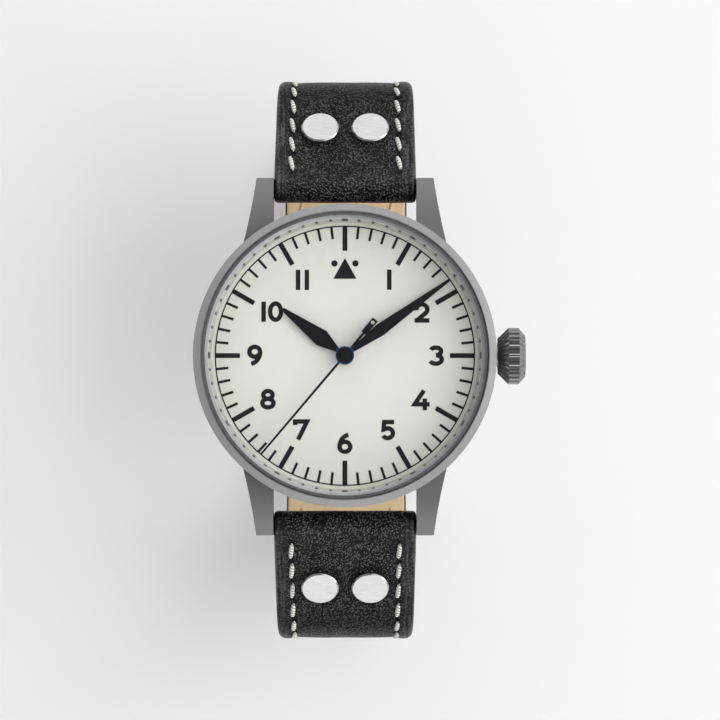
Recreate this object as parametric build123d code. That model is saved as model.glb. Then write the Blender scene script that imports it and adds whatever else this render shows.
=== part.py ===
"""Pilot watch: steel case, fluted crown, cream dial, automatic movement and riveted leather strap.

Millimetres. The dial looks up (+Z), twelve o'clock is +Y and the crown is at +X.
The origin is the centre of the flat outer face of the case back.
The strap hangs below the case as an open loop and stands on the flat run of its long half.
Sizes in plan follow the case's radius through a unit, and heights have their own names.
"""
from build123d import *
import math
import os

# Case; the unit is a tenth of a millimetre on this case, and every size in plan is counted in it
case_radius = 20.9
unit_share = 1 / 209
unit = case_radius * unit_share
case_low = 1.2
case_flank_low = 3.6
case_foot_radius = 188 * unit
case_top = 8.2
case_bore_radius = 160 * unit
dial_ledge = 7.0

# Bezel, crystal and the ring between crystal and dial
bezel_radius = 210 * unit
bezel_shoulder = 9.5
bezel_top = 10.85
bezel_land_radius = 199.4 * unit
bezel_bore_radius = 197.2 * unit
bezel_bore_chamfer = 0.25
bezel_lip_radius = 201.5 * unit
bezel_lip_drop = 0.45
dial_pit_radius = 197 * unit
crystal_radius = 193.2 * unit
crystal_low = 9.65
crystal_edge_top = 10.95
crystal_top = 11.75
gasket_top = 10.65
rehaut_foot_radius = 184.5 * unit
rehaut_lip_radius = 189 * unit

# Lugs
lug_gap = 200 * unit
lug_tip_y = 250 * unit
lug_tip_outer_x = 124 * unit
lug_shoulder_x = 134 * unit
lug_shoulder_y = 187 * unit
lug_root_x = 141 * unit
lug_root_y = 156 * unit
lug_start_y = 110 * unit
lug_back_top = 7.9
lug_mid_y = 206 * unit
lug_mid_top = 6.6
lug_tip_top = 3.9
lug_tip_low = 0.9
lug_back_low = 1.9
lug_mid_low = 1.35

# Case back
back_radius = 172 * unit
back_skirt_radius = 159 * unit
back_skirt_wall = 1.3
back_skirt_top = 2.6
notch_count = 6
notch_width = 3.0
notch_depth = 1.1
notch_height = 0.7
back_gasket_radius = 164.5 * unit
back_gasket_width = 0.6
back_gasket_depth = 0.45
back_edge_chamfer = 0.3

# Dial and its printed track
dial_radius = 196 * unit
dial_thickness = 0.4
dial_hole_radius = 10 * unit
dial_foot_radius = 4 * unit
dial_foot_distance = 116 * unit
dial_foot_angles = (62, 242)
print_thickness = 0.03
minute_count = 60
hour_count = 12
track_radius = 180 * unit
track_line = 1.8 * unit
hour_mark_inner = 145 * unit
hour_mark_width = 6.7 * unit
minute_mark_inner = 162 * unit
minute_mark_width = 3.6 * unit
triangle_apex_y = 135 * unit
triangle_base_y = 106.3 * unit
triangle_width = 32 * unit
dot_radius = 4.4 * unit
dot_x = 14.5 * unit
dot_y = 127.5 * unit

# Hands
hand_thickness = 0.15
hour_hand_low = 7.85
minute_hand_low = 8.3
second_hand_low = 8.75
hour_hand_angle = 306.7
minute_hand_angle = 54.1
second_hand_angle = 220.3
hour_hand_length = 107 * unit
hour_hand_belly_width = 24 * unit
hour_hand_belly_at = 40 * unit
hour_hand_tip_width = 5 * unit
minute_hand_length = 178 * unit
minute_hand_belly_width = 17.5 * unit
minute_hand_belly_at = 60 * unit
minute_hand_tip_width = 3.8 * unit
hand_neck_width = 6.5 * unit
hand_boss_radius = 12.7 * unit
second_hand_length = 179 * unit
second_hand_width = 3.6 * unit
second_hand_tip_width = 2.8 * unit
second_boss_radius = 11 * unit
tail_start = 40 * unit
tail_end = 65 * unit
tail_width = 8.7 * unit
tail_hole_radius = 2.5 * unit
tail_hole_at = 59.5 * unit

# Crown, tube and stem on the three o'clock axis
stem_z = 4.9
crown_start = 212.5 * unit
crown_neck_radius = 2.45
crown_radius = 3.95
crown_cone = 15 * unit
crown_grip = 14.5 * unit
crown_round = 6.5 * unit
crown_round_radius = 3.55
crown_end = 251 * unit
crown_end_radius = 2.9
flute_count = 28
flute_depth_share = 0.055
flute_height_shares = (0, 0.75, 1, 0.75)
crown_bore_radius = 1.9
crown_bore_depth = 19 * unit
tube_radius = 1.25
tube_bore_radius = 0.85
tube_inner_x = 190 * unit
tube_outer_x = 229.5 * unit
crown_gasket_x = 213.5 * unit
crown_gasket_length = 5 * unit
stem_radius = 0.7
stem_inner_x = 52 * unit
stem_pilot_radius = 0.4
stem_pilot_end_x = 74 * unit
pilot_block_start = 58 * unit
pilot_block_end = 70 * unit
crown_pull = 1.2

# Fits
running_gap = 0.05
seat_gap = 0.02
cut_over = 0.5

# Movement
plate_radius = 130 * unit
plate_low = 5.4
plate_top = 6.8
bridge_low = 3.1
bridge_top = 3.9
bridge_inset = 3 * unit
bridge_gap = 4 * unit
bridge_split = 19 * unit
bridge_split_angle = 25
plate_recess_floor = 5.9
motion_recess_gap = 2.5 * unit
pivot_radius = 1.5 * unit
arbor_radius = 2.8 * unit
jewel_radius = 6.5 * unit
jewel_thickness = 0.3
screw_radius = 8.5 * unit
screw_head_height = 0.3
screw_shank_radius = 4 * unit
screw_slot = 0.2
screw_distance = 116 * unit
barrel_screw_angles = (12, 85)
train_screw_angles = (112, 165, 222)
pillar_radius = 7.5 * unit

# Gear teeth, as shares of the module and of the tooth pitch
addendum_share = 0.85
dedendum_share = 1.15
tooth_tip_share = 0.10
tooth_root_share = 0.27
rim_share = 0.84
arm_width = 5 * unit
arm_count = 4
hub_radius = 8.4 * unit

# Barrel and winding
barrel_distance = 76 * unit
barrel_angle = 55
barrel_teeth = 72
barrel_module = 1.4 * unit
barrel_drum_radius = 47.5 * unit
barrel_low = 4.3
barrel_top = 5.35
barrel_tooth_height = 0.2
barrel_arbor_radius = 6 * unit
ratchet_teeth = 44
crown_wheel_teeth = 28
winding_module = 2 * unit
winding_wheel_low = 2.55
winding_wheel_height = 0.45
crown_wheel_y = 7 * unit
winding_pinion_teeth = 16
winding_pinion_radius = 1.8
winding_pinion_x = 107 * unit
winding_pinion_length = 13 * unit
sliding_pinion_x = 87 * unit
sliding_pinion_length = 17 * unit
sliding_pinion_radius = 0.96
sliding_groove_radius = 0.82
sliding_groove_share = 1 / 3
click_length = 26 * unit
click_width = 7 * unit
click_boss_radius = 7.5 * unit
click_gap = 1.2 * unit
click_lead_angle = 100
click_heading = 119
click_beak_share = 0.8

# Going train
intermediate_distance = 46 * unit
intermediate_teeth = 64
intermediate_pinion_teeth = 12
train_module = 1 * unit
train_pinion_teeth = 8
third_teeth = 60
seconds_teeth = 84
seconds_module = 0.6 * unit
escape_pinion_teeth = 7
escape_angle = 235
wheel_thickness = 0.14
intermediate_wheel_low = 3.98
intermediate_pinion_low = 5.1
third_wheel_low = 4.5
third_pinion_top = 4.3
seconds_wheel_low = 4.88
seconds_pinion_low = 4.4
escape_wheel_low = 4.2
escape_teeth = 20
escape_tip_radius = 20 * unit
escape_root_radius = 15.5 * unit
escape_hub_radius = 5.6 * unit
escape_tip_width_share = 0.08
escape_rake_share = 0.35

# Regulator
pallet_distance = 25.5 * unit
regulator_angle = 290
balance_distance = 36 * unit
balance_radius = 38.5 * unit
balance_rim = 4.5 * unit
balance_hub_radius = 5.6 * unit
balance_low = 3.75
balance_height = 0.3
roller_radius = 7.5 * unit
roller_low = 4.42
roller_height = 0.15
impulse_pin_radius = 0.8 * unit
impulse_pin_at = 5.2 * unit
fork_low = 4.17
fork_height = 0.18
fork_width = 3.4 * unit
fork_notch_width = 3.2 * unit
fork_tip_gap = 7.2 * unit
stone_width = 2.4 * unit
stone_gap = 0.7 * unit
stone_spread_share = 1.05
hairspring_low = 3.52
hairspring_height = 0.1
hairspring_inner = 4.5 * unit
hairspring_outer = 17.5 * unit
hairspring_turns = 4
hairspring_strip = 1 * unit
cock_low = 2.95
cock_top = 3.4
cock_width = 22 * unit
cock_foot_radius = 10 * unit
cock_foot_x = 63 * unit
cock_foot_y = -95 * unit

# Motion works behind the dial
cannon_teeth = 12
minute_wheel_teeth = 36
cannon_module = 1.25 * unit
minute_pinion_teeth = 10
hour_wheel_teeth = 40
hour_module = 1.2 * unit
minute_wheel_angle = 320
centre_tube_radius = 4 * unit
centre_tube_bore = 2.2 * unit
centre_tube_top = 7.5
cannon_wall = 2 * unit
cannon_low = 6.0
cannon_tooth_top = 6.3
minute_wheel_low = 6.05
minute_pinion_top = 6.7
hour_wheel_low = 6.42
hour_pipe_wall = 2.2 * unit
minute_post_radius = 2.5 * unit

# Rotor and casing ring
rotor_radius = 136 * unit
rotor_rim_width = 21 * unit
rotor_plate_low = 1.75
rotor_plate_thickness = 0.35
rotor_rim_low = 1.5
rotor_rim_top = 2.4
rotor_hub_radius = 24 * unit
rotor_window_radius = 96 * unit
rotor_window_inner = 48 * unit
rotor_arm_width = 24 * unit
rotor_arm_angles = (0, 90, 180)
bearing_radius = 15 * unit
bearing_bore = 6 * unit
bearing_low = 1.6
holder_gap = 0.05
holder_low = 3.1
clamp_angles = (150, 205)
clamp_length = 36 * unit
clamp_width = 22 * unit
clamp_thickness = 0.3
clamp_centre = 129 * unit
clamp_screw_at = 138 * unit
clamp_screw_height = 0.2

# Strap: straight from the lugs, round a bend, then a larger bend to its flat run
strap_side_gap = 0.15
strap_width = lug_gap - 2 * strap_side_gap
strap_narrowing = 1.7
strap_far_width = strap_width - strap_narrowing
strap_drop_angle = 36
bar_y = 232 * unit
bar_z = 2.6
strap_end_radius = 1.9
strap_far_thickness = 2.6
lining_thickness = 0.9
strap_reach = 17.4
strap_reach_y = bar_y + strap_reach
strap_bend_radius = 11.0
long_bend_radius = 33.4
short_bend_radius = 16.9
long_flat_length = 41.2
short_flat_length = 24.7
long_tip_y = long_flat_length + long_bend_radius - strap_reach_y
short_end_y = strap_reach_y - short_bend_radius - short_flat_length
strap_tip_length = 9.0
tip_side_share = 0.72
tip_reach_share = 0.58
hole_radius = 0.9
hole_count = 5
hole_pitch = 6.5
first_hole_from_tip = 13.0
tang_slot_width = 3.2
tang_slot_length = 5.0

# Spring bars
spring_bar_radius = 0.75
spring_bar_gap = 0.35
spring_bar_half = lug_gap / 2 - spring_bar_gap
spring_bar_bore = 0.6
spring_bar_bore_length = 2.75
spring_bar_lip = 0.3
spring_pin_radius = 0.42
spring_pin_flange = 0.55
spring_pin_flange_inset = 1.45
spring_pin_flange_length = 0.4
spring_pin_reach = 0.9
lug_hole_depth = 1.1

# Rivets
rivet_inset = 8.2
rivet_y = strap_reach_y - rivet_inset
rivet_x = 35.5 * unit
rivet_radius = 26.5 * unit
rivet_height = 0.55
rivet_bevel = 0.18
rivet_shank_radius = 0.9
rivet_washer_radius = 1.7
rivet_washer_height = 0.3

# Buckle and keepers
buckle_bar_radius = 0.75
buckle_roll_radius = 1.5
buckle_side_gap = 0.3
buckle_inner_width = strap_far_width + 2 * buckle_side_gap
buckle_side = 2.0
buckle_length = 13.0
buckle_height = 2.0
buckle_corner = 2.4
buckle_bevel = 0.35
tang_width = 2.4
tang_thickness = 0.9
tang_ring_wall = 0.68
tang_overlap = 1.4
keeper_width = 5.0
keeper_wall = 1.0
keeper_corner = 0.9
keeper_side_gap = 0.35
keeper_room = 2.6
keeper_face_gap = 0.3
fixed_keeper_from_end = 8.0
sliding_keeper_from_end = 14.6


def disc(radius, low, high):
    """Upright cylinder between two heights."""
    bottom = (Align.CENTER, Align.CENTER, Align.MIN)
    return Pos(0, 0, low) * Cylinder(radius, high - low, align=bottom)


def ring(outer, inner, low, high):
    """Upright tube between two heights."""
    return disc(outer, low, high) - disc(inner, low - cut_over, high + cut_over)


def block(x_span, y_span, z_span):
    """Box given by its lowest and highest place along each axis."""
    spans = (x_span, y_span, z_span)
    corner = (Align.MIN, Align.MIN, Align.MIN)
    place = Pos(x_span[0], y_span[0], z_span[0])
    return place * Box(*[high - low for low, high in spans], align=corner)


def turned(points):
    """Solid of revolution about the dial axis from (radius, height) points."""
    return revolve(Plane.XZ * Polygon(*points, align=None), Axis.Z)


def plate(points, low, high):
    """Flat plate with a polygon outline between two heights."""
    return extrude(Pos(0, 0, low) * Polygon(*points, align=None), amount=high - low)


def polar(distance, angle):
    """Point at a distance and an angle in degrees from +X."""
    turn = math.radians(angle)
    return (distance * math.cos(turn), distance * math.sin(turn))


def at(point, shape):
    """The shape moved to a point of the plan."""
    return Pos(point[0], point[1], 0) * shape


def along_stem(shape):
    """Lays a shape that was made along Z on the stem axis, with Z along +X."""
    return Pos(0, 0, stem_z) * Rot(0, 90, 0) * shape


def step_from(point, distance, angle):
    """Point reached from another by a distance at an angle."""
    shift = polar(distance, angle)
    return (point[0] + shift[0], point[1] + shift[1])


def angle_between(point, target):
    """Direction in degrees from one point of the plan to another."""
    return math.degrees(math.atan2(target[1] - point[1], target[0] - point[0]))


def third_corner(side_a, side_b, opposite):
    """Angle in degrees between two sides of a triangle, by the law of cosines."""
    cosine = (side_a**2 + side_b**2 - opposite**2) / (2 * side_a * side_b)
    return math.degrees(math.acos(cosine))


def mesh_distance(teeth_a, teeth_b, module):
    """Distance between the centres of two gears in mesh."""
    return module * (teeth_a + teeth_b) / 2


# Centres of the movement, each found from the wheels in mesh
barrel_at = polar(barrel_distance, barrel_angle)
barrel_mesh = mesh_distance(barrel_teeth, intermediate_pinion_teeth, barrel_module)
barrel_corner = third_corner(barrel_distance, intermediate_distance, barrel_mesh)
intermediate_angle = barrel_angle + barrel_corner
intermediate_at = polar(intermediate_distance, intermediate_angle)
third_distance = mesh_distance(third_teeth, train_pinion_teeth, train_module)
third_mesh = mesh_distance(intermediate_teeth, train_pinion_teeth, train_module)
third_wheel_corner = third_corner(intermediate_distance, third_distance, third_mesh)
third_angle = intermediate_angle + third_wheel_corner
third_at = polar(third_distance, third_angle)
escape_distance = mesh_distance(seconds_teeth, escape_pinion_teeth, seconds_module)
escape_at = polar(escape_distance, escape_angle)
pallet_at = step_from(escape_at, pallet_distance, regulator_angle)
balance_at = step_from(pallet_at, balance_distance, regulator_angle)
motion_distance = mesh_distance(cannon_teeth, minute_wheel_teeth, cannon_module)
minute_wheel_at = polar(motion_distance, minute_wheel_angle)
winding_mesh = mesh_distance(ratchet_teeth, crown_wheel_teeth, winding_module)
crown_wheel_reach = math.sqrt(winding_mesh**2 - (barrel_at[1] - crown_wheel_y)**2)
crown_wheel_at = (barrel_at[0] + crown_wheel_reach, crown_wheel_y)
cock_foot_at = (cock_foot_x, cock_foot_y)


def gear_points(teeth, module, phase):
    """Outline of straight-flanked teeth; phase is the angle of the first tooth."""
    pitch_radius = teeth * module / 2
    tip = pitch_radius + addendum_share * module
    root = pitch_radius - dedendum_share * module
    pitch = 360 / teeth
    corners = (
        (root, -tooth_root_share),
        (tip, -tooth_tip_share),
        (tip, tooth_tip_share),
        (root, tooth_root_share),
    )
    return [polar(r, phase + (k + share) * pitch) for k in range(teeth) for r, share in corners]


def gear(teeth, module, low, high, phase=0):
    """Gear blank with its teeth between two heights."""
    return plate(gear_points(teeth, module, phase), low, high)


def meshing_phase(teeth_a, phase_a, teeth_b, direction):
    """First-tooth angle of gear b that puts its gap on the tooth of gear a.

    The direction is the angle from the centre of a to the centre of b.
    """
    offset = (phase_a - direction) * teeth_a / 360
    return direction + 180 - (offset + 0.5) * 360 / teeth_b


def arms(outer, inner, low, high, count):
    """Cutter that opens a wheel between rim and hub and leaves its arms."""
    cutter = ring(outer, inner, low - cut_over, high + cut_over)
    half = arm_width / 2
    for k in range(count):
        bar = block((0, outer + cut_over), (-half, half), (low - 2 * cut_over, high + 2 * cut_over))
        cutter -= Rot(0, 0, k * 360 / count) * bar
    return cutter


def train_wheel(teeth, module, low, pinion_teeth, pinion_module, pinion_span, phase, pinion_phase):
    """Thin wheel with four arms, its pinion and their arbor, centred on the origin."""
    pitch_radius = teeth * module / 2
    high = low + wheel_thickness
    wheel = gear(teeth, module, low, high, phase)
    wheel -= arms(pitch_radius * rim_share, hub_radius, low, high, arm_count)
    wheel += gear(pinion_teeth, pinion_module, *pinion_span, pinion_phase)
    wheel += disc(arbor_radius, bridge_top + running_gap, plate_low - running_gap)
    wheel += disc(pivot_radius, bridge_low, plate_recess_floor - running_gap)
    return wheel


# Angles that bring each wheel's teeth into the gaps of the wheel that drives it
barrel_phase = angle_between(barrel_at, intermediate_at)
intermediate_pinion_phase = meshing_phase(
    barrel_teeth, barrel_phase, intermediate_pinion_teeth,
    angle_between(barrel_at, intermediate_at))
intermediate_phase = angle_between(intermediate_at, third_at)
third_pinion_phase = meshing_phase(
    intermediate_teeth, intermediate_phase, train_pinion_teeth,
    angle_between(intermediate_at, third_at))
third_phase = angle_between(third_at, (0, 0))
seconds_pinion_phase = meshing_phase(
    third_teeth, third_phase, train_pinion_teeth, angle_between(third_at, (0, 0)))
seconds_phase = escape_angle
escape_pinion_phase = meshing_phase(
    seconds_teeth, seconds_phase, escape_pinion_teeth, escape_angle)
cannon_phase = minute_wheel_angle
minute_wheel_phase = meshing_phase(
    cannon_teeth, cannon_phase, minute_wheel_teeth, minute_wheel_angle)
hour_wheel_phase = meshing_phase(
    minute_pinion_teeth, minute_wheel_phase, hour_wheel_teeth, minute_wheel_angle + 180)
ratchet_phase = angle_between(barrel_at, crown_wheel_at)
crown_wheel_phase = meshing_phase(
    ratchet_teeth, ratchet_phase, crown_wheel_teeth, angle_between(barrel_at, crown_wheel_at))


def lug():
    """One lug at the corner of +X and +Y: a plan outline cut from a curved side profile."""
    tip = (lug_tip_outer_x, lug_tip_y)
    root = (lug_root_x, lug_root_y)
    start = (lug_gap / 2, lug_start_y)
    inner_tip = (lug_gap / 2, lug_tip_y)
    plan = make_face([
        Line(start, inner_tip),
        Line(inner_tip, tip),
        ThreePointArc(tip, (lug_shoulder_x, lug_shoulder_y), root),
        Line(root, start),
    ])
    top_back = (lug_start_y, lug_back_top)
    top_tip = (lug_tip_y, lug_tip_top)
    low_tip = (lug_tip_y, lug_tip_low)
    low_back = (lug_start_y, lug_back_low)
    side = make_face([
        ThreePointArc(top_back, (lug_mid_y, lug_mid_top), top_tip),
        Line(top_tip, low_tip),
        ThreePointArc(low_tip, (lug_mid_y, lug_mid_low), low_back),
        Line(low_back, top_back),
    ])
    upright = extrude(plan, amount=case_top)
    across = extrude(Plane.YZ * side, amount=case_radius)
    return upright & across


def lug_hole(x_sign, y_sign):
    """Blind hole in a lug's inner face for the tip of a spring bar."""
    hole = disc(spring_pin_radius + running_gap, -cut_over, lug_hole_depth)
    turned_hole = Rot(0, 90 * x_sign, 0) * hole
    return Pos(x_sign * lug_gap / 2, y_sign * bar_y, bar_z) * turned_hole


def case_body():
    """Mid-case with four curved lugs, bored for the movement, the dial and the crown tube."""
    body = turned([
        (back_radius, case_low),
        (case_foot_radius, case_low),
        (case_radius, case_flank_low),
        (case_radius, case_top),
        (dial_pit_radius, case_top),
        (dial_pit_radius, dial_ledge),
        (back_radius, dial_ledge),
    ])
    corner = lug()
    for mirrored in (corner, mirror(corner, Plane.YZ)):
        body += mirrored + mirror(mirrored, Plane.XZ)
    body += ring(case_radius - cut_over, case_bore_radius, case_low, dial_ledge)
    body -= disc(case_bore_radius, case_low - cut_over, dial_ledge + cut_over)
    body -= disc(dial_pit_radius, dial_ledge, case_top + cut_over)
    lip_seat = case_top - bezel_lip_drop - seat_gap
    body -= disc(bezel_lip_radius + seat_gap, lip_seat, case_top + cut_over)
    gasket_bore = back_gasket_radius - seat_gap
    body -= ring(gasket_bore + back_gasket_width + 2 * seat_gap, gasket_bore,
                 case_low - cut_over, case_low + back_gasket_depth)
    tube_way = disc(tube_radius + seat_gap, case_bore_radius - cut_over, case_radius + cut_over)
    body -= along_stem(tube_way)
    for x_sign in (-1, 1):
        for y_sign in (-1, 1):
            body -= lug_hole(x_sign, y_sign)
    return body


def bezel():
    """Sloping bezel with a lip that presses into the case."""
    return turned([
        (bezel_bore_radius, case_top - bezel_lip_drop),
        (bezel_lip_radius, case_top - bezel_lip_drop),
        (bezel_lip_radius, case_top),
        (bezel_radius, case_top),
        (bezel_radius, bezel_shoulder),
        (bezel_land_radius, bezel_top),
        (bezel_bore_radius, bezel_top - bezel_bore_chamfer),
    ])


def crystal():
    """Sapphire disc with a slightly domed top and a flat underside."""
    top = ThreePointArc(
        (-crystal_radius, crystal_edge_top), (0, crystal_top), (crystal_radius, crystal_edge_top))
    right = Line((crystal_radius, crystal_edge_top), (crystal_radius, crystal_low))
    bottom = Line((crystal_radius, crystal_low), (-crystal_radius, crystal_low))
    left = Line((-crystal_radius, crystal_low), (-crystal_radius, crystal_edge_top))
    half = block((0, crystal_radius + cut_over), (-cut_over, cut_over), (0, crystal_top + cut_over))
    section = (Plane.XZ * make_face([top, right, bottom, left])) & half
    return revolve(section, Axis.Z)


def crystal_gasket():
    """Black ring squeezed between the crystal and the bezel."""
    return ring(bezel_bore_radius - seat_gap, crystal_radius + seat_gap, crystal_low, gasket_top)


def rehaut_ring():
    """Polished conical ring between the dial's edge and the crystal."""
    outer = bezel_bore_radius - 2 * seat_gap
    low = dial_ledge + dial_thickness
    return turned([
        (rehaut_foot_radius, low),
        (outer, low),
        (outer, crystal_low),
        (rehaut_lip_radius, crystal_low),
    ])


def dial():
    """Dial disc with its centre hole and two feet that reach into the main plate."""
    face = ring(dial_radius, dial_hole_radius, dial_ledge, dial_ledge + dial_thickness)
    for angle in dial_foot_angles:
        foot = disc(dial_foot_radius, plate_recess_floor, dial_ledge)
        face += at(polar(dial_foot_distance, angle), foot)
    return face


def dial_track():
    """Printed minute track, triangle and dots on the dial."""
    low = dial_ledge + dial_thickness
    high = low + print_thickness
    track = ring(track_radius, track_radius - track_line, low, high)
    marks = []
    for minute in range(minute_count):
        on_hour = minute % (minute_count // hour_count) == 0
        inner = hour_mark_inner if on_hour else minute_mark_inner
        width = hour_mark_width if on_hour else minute_mark_width
        reach = (inner, track_radius - track_line / 2)
        mark = block(reach, (-width / 2, width / 2), (low, high))
        marks.append(Rot(0, 0, minute * 360 / minute_count) * mark)
    track += marks
    triangle = plate([
        (0, triangle_apex_y),
        (-triangle_width / 2, triangle_base_y),
        (triangle_width / 2, triangle_base_y),
    ], low, high)
    dots = [at((x_sign * dot_x, dot_y), disc(dot_radius, low, high)) for x_sign in (-1, 1)]
    return Compound(children=[track, triangle, *dots])


def case_back():
    """Screwed back with wrench notches in its rim; its flat outer face is at zero height."""
    back = turned([
        (0, 0),
        (back_radius - back_edge_chamfer, 0),
        (back_radius, back_edge_chamfer),
        (back_radius, case_low),
        (back_skirt_radius, case_low),
        (back_skirt_radius, back_skirt_top),
        (back_skirt_radius - back_skirt_wall, back_skirt_top),
        (back_skirt_radius - back_skirt_wall, case_low),
        (0, case_low),
    ])
    for k in range(notch_count):
        notch = block(
            (back_radius - notch_depth, back_radius + cut_over),
            (-notch_width / 2, notch_width / 2),
            (-cut_over, notch_height))
        back -= Rot(0, 0, k * 360 / notch_count) * notch
    return back


def case_back_gasket():
    """Round-section seal in the groove of the case above the back."""
    high = case_low + back_gasket_depth - seat_gap
    return ring(back_gasket_radius + back_gasket_width, back_gasket_radius, case_low + seat_gap, high)


def crown_tube():
    """Tube pressed into the case side that the stem runs through."""
    return along_stem(ring(tube_radius, tube_bore_radius, tube_inner_x, tube_outer_x))


def fluted_outline(radius):
    """Closed outline of rounded flutes, four points to each flute."""
    depth = radius * flute_depth_share
    points = []
    for k in range(flute_count):
        for step, height_share in enumerate(flute_height_shares):
            angle = (k + step / len(flute_height_shares)) * 360 / flute_count
            points.append(polar(radius - depth * (1 - height_share), angle))
    return Polygon(*points, align=None)


def crown():
    """Onion crown whose flutes run down its cone, with a bore for the tube and its seal."""
    sections = (
        (crown_start, crown_neck_radius),
        (crown_start + crown_cone, crown_radius),
        (crown_start + crown_cone + crown_grip, crown_radius),
        (crown_start + crown_cone + crown_grip + crown_round / 2, crown_round_radius),
        (crown_end, crown_end_radius),
    )
    body = loft([Pos(0, 0, x) * fluted_outline(radius) for x, radius in sections], ruled=True)
    body -= disc(crown_bore_radius, crown_start - cut_over, crown_start + crown_bore_depth)
    body -= disc(stem_radius, crown_start, crown_end - crown_round)
    return along_stem(body)


def crown_gasket():
    """Seal ring inside the crown that slides on the tube."""
    seal = ring(crown_bore_radius - seat_gap, tube_radius + seat_gap,
                crown_gasket_x, crown_gasket_x + crown_gasket_length)
    return along_stem(seal)


def winding_stem():
    """Stem from the crown to its pilot in the main plate, with a square under the sliding pinion."""
    stem = disc(stem_radius - seat_gap, stem_pilot_end_x, crown_end - crown_round - seat_gap)
    stem += disc(stem_pilot_radius, stem_inner_x, stem_pilot_end_x)
    return along_stem(stem)


def winding_pinion():
    """Pinion that turns with the stem and drives the crown wheel."""
    module = 2 * winding_pinion_radius / (winding_pinion_teeth + 2 * addendum_share)
    end = winding_pinion_x + winding_pinion_length
    pinion = gear(winding_pinion_teeth, module, winding_pinion_x, end)
    return along_stem(pinion - disc(stem_radius, winding_pinion_x - cut_over, end + cut_over))


def sliding_pinion():
    """Pinion with a yoke groove that slides inwards as the crown is pulled."""
    module = 2 * sliding_pinion_radius / (winding_pinion_teeth + 2 * addendum_share)
    end = sliding_pinion_x + sliding_pinion_length
    pinion = gear(winding_pinion_teeth, module, sliding_pinion_x, end)
    shoulder = sliding_pinion_length * sliding_groove_share
    pinion -= ring(2 * sliding_pinion_radius, sliding_groove_radius,
                   sliding_pinion_x + shoulder, end - shoulder)
    return along_stem(pinion - disc(stem_radius, sliding_pinion_x - cut_over, end + cut_over))


def screw_places():
    """Plan places of the bridge screws, each over a pillar of the main plate."""
    return [polar(screw_distance, angle) for angle in barrel_screw_angles + train_screw_angles]


def cock_outline(extra):
    """Rounded bar over the balance, from its foot to its jewel, grown by an extra width."""
    width = cock_width + 2 * extra
    reach = math.dist(cock_foot_at, balance_at)
    bar = Pos(reach / 2, 0) * Rectangle(reach, width)
    bar = Rot(0, 0, angle_between(cock_foot_at, balance_at)) * bar
    return at(cock_foot_at, bar + Circle(width / 2)) + at(balance_at, Circle(width / 2))


def bridge_blank(side):
    """Half of a thin round plate: side 1 is over the barrel, side -1 over the going train."""
    blank = disc(plate_radius - bridge_inset, bridge_low, bridge_top)
    near = bridge_split + (bridge_gap / 2 if side > 0 else -bridge_gap / 2)
    span = (near, plate_radius) if side > 0 else (-plate_radius, near)
    half = block(span, (-plate_radius, plate_radius), (0, dial_ledge))
    return blank & (Rot(0, 0, bridge_split_angle) * half)


def screw_cut(point, low):
    """Hole for a screw's shank with a sink for its head, from the back side."""
    hole = disc(screw_shank_radius + running_gap, low - cut_over, plate_low)
    sink = disc(screw_radius + running_gap, low - cut_over, low + screw_head_height)
    return at(point, hole + sink)


def jewel_seat(point, low):
    """Hole in a bridge for a jewel, open from the back side."""
    return at(point, disc(jewel_radius + seat_gap, low - cut_over, plate_low))


def train_bridge():
    """Bridge over the going train, open round the balance and under its cock."""
    bridge = bridge_blank(-1)
    bridge -= at(balance_at, disc(balance_radius + bridge_gap, 0, plate_low))
    bridge -= extrude(cock_outline(bridge_gap), amount=plate_low)
    bridge -= at(cock_foot_at, disc(cock_foot_radius + bridge_gap, 0, plate_low))
    for point in (intermediate_at, third_at, (0, 0), escape_at):
        bridge -= jewel_seat(point, bridge_low)
    for point in screw_places()[len(barrel_screw_angles):]:
        bridge -= screw_cut(point, bridge_low)
    return bridge


def barrel_bridge():
    """Bridge over the barrel that carries the ratchet and crown wheels."""
    bridge = bridge_blank(1)
    bridge -= extrude(cock_outline(bridge_gap), amount=plate_low)
    bridge -= at(barrel_at, disc(barrel_arbor_radius + running_gap, 0, plate_low))
    bridge -= block(
        (winding_pinion_x - bridge_gap / 2, plate_radius),
        (-winding_pinion_radius - running_gap, winding_pinion_radius + running_gap),
        (0, plate_low))
    bridge += at(crown_wheel_at, disc(arbor_radius, winding_wheel_low, bridge_low))
    bridge -= at(click_at(), disc(arbor_radius + running_gap, 0, plate_low))
    for point in screw_places()[:len(barrel_screw_angles)]:
        bridge -= screw_cut(point, bridge_low)
    return bridge


def balance_cock():
    """Cock that holds the balance's upper pivot, with a thick foot on the main plate."""
    cock = extrude(Pos(0, 0, cock_low) * cock_outline(0), amount=cock_top - cock_low)
    cock += at(cock_foot_at, disc(cock_foot_radius, cock_top, plate_low))
    cock -= jewel_seat(balance_at, cock_low)
    return cock - screw_cut(cock_foot_at, cock_low)


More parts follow.
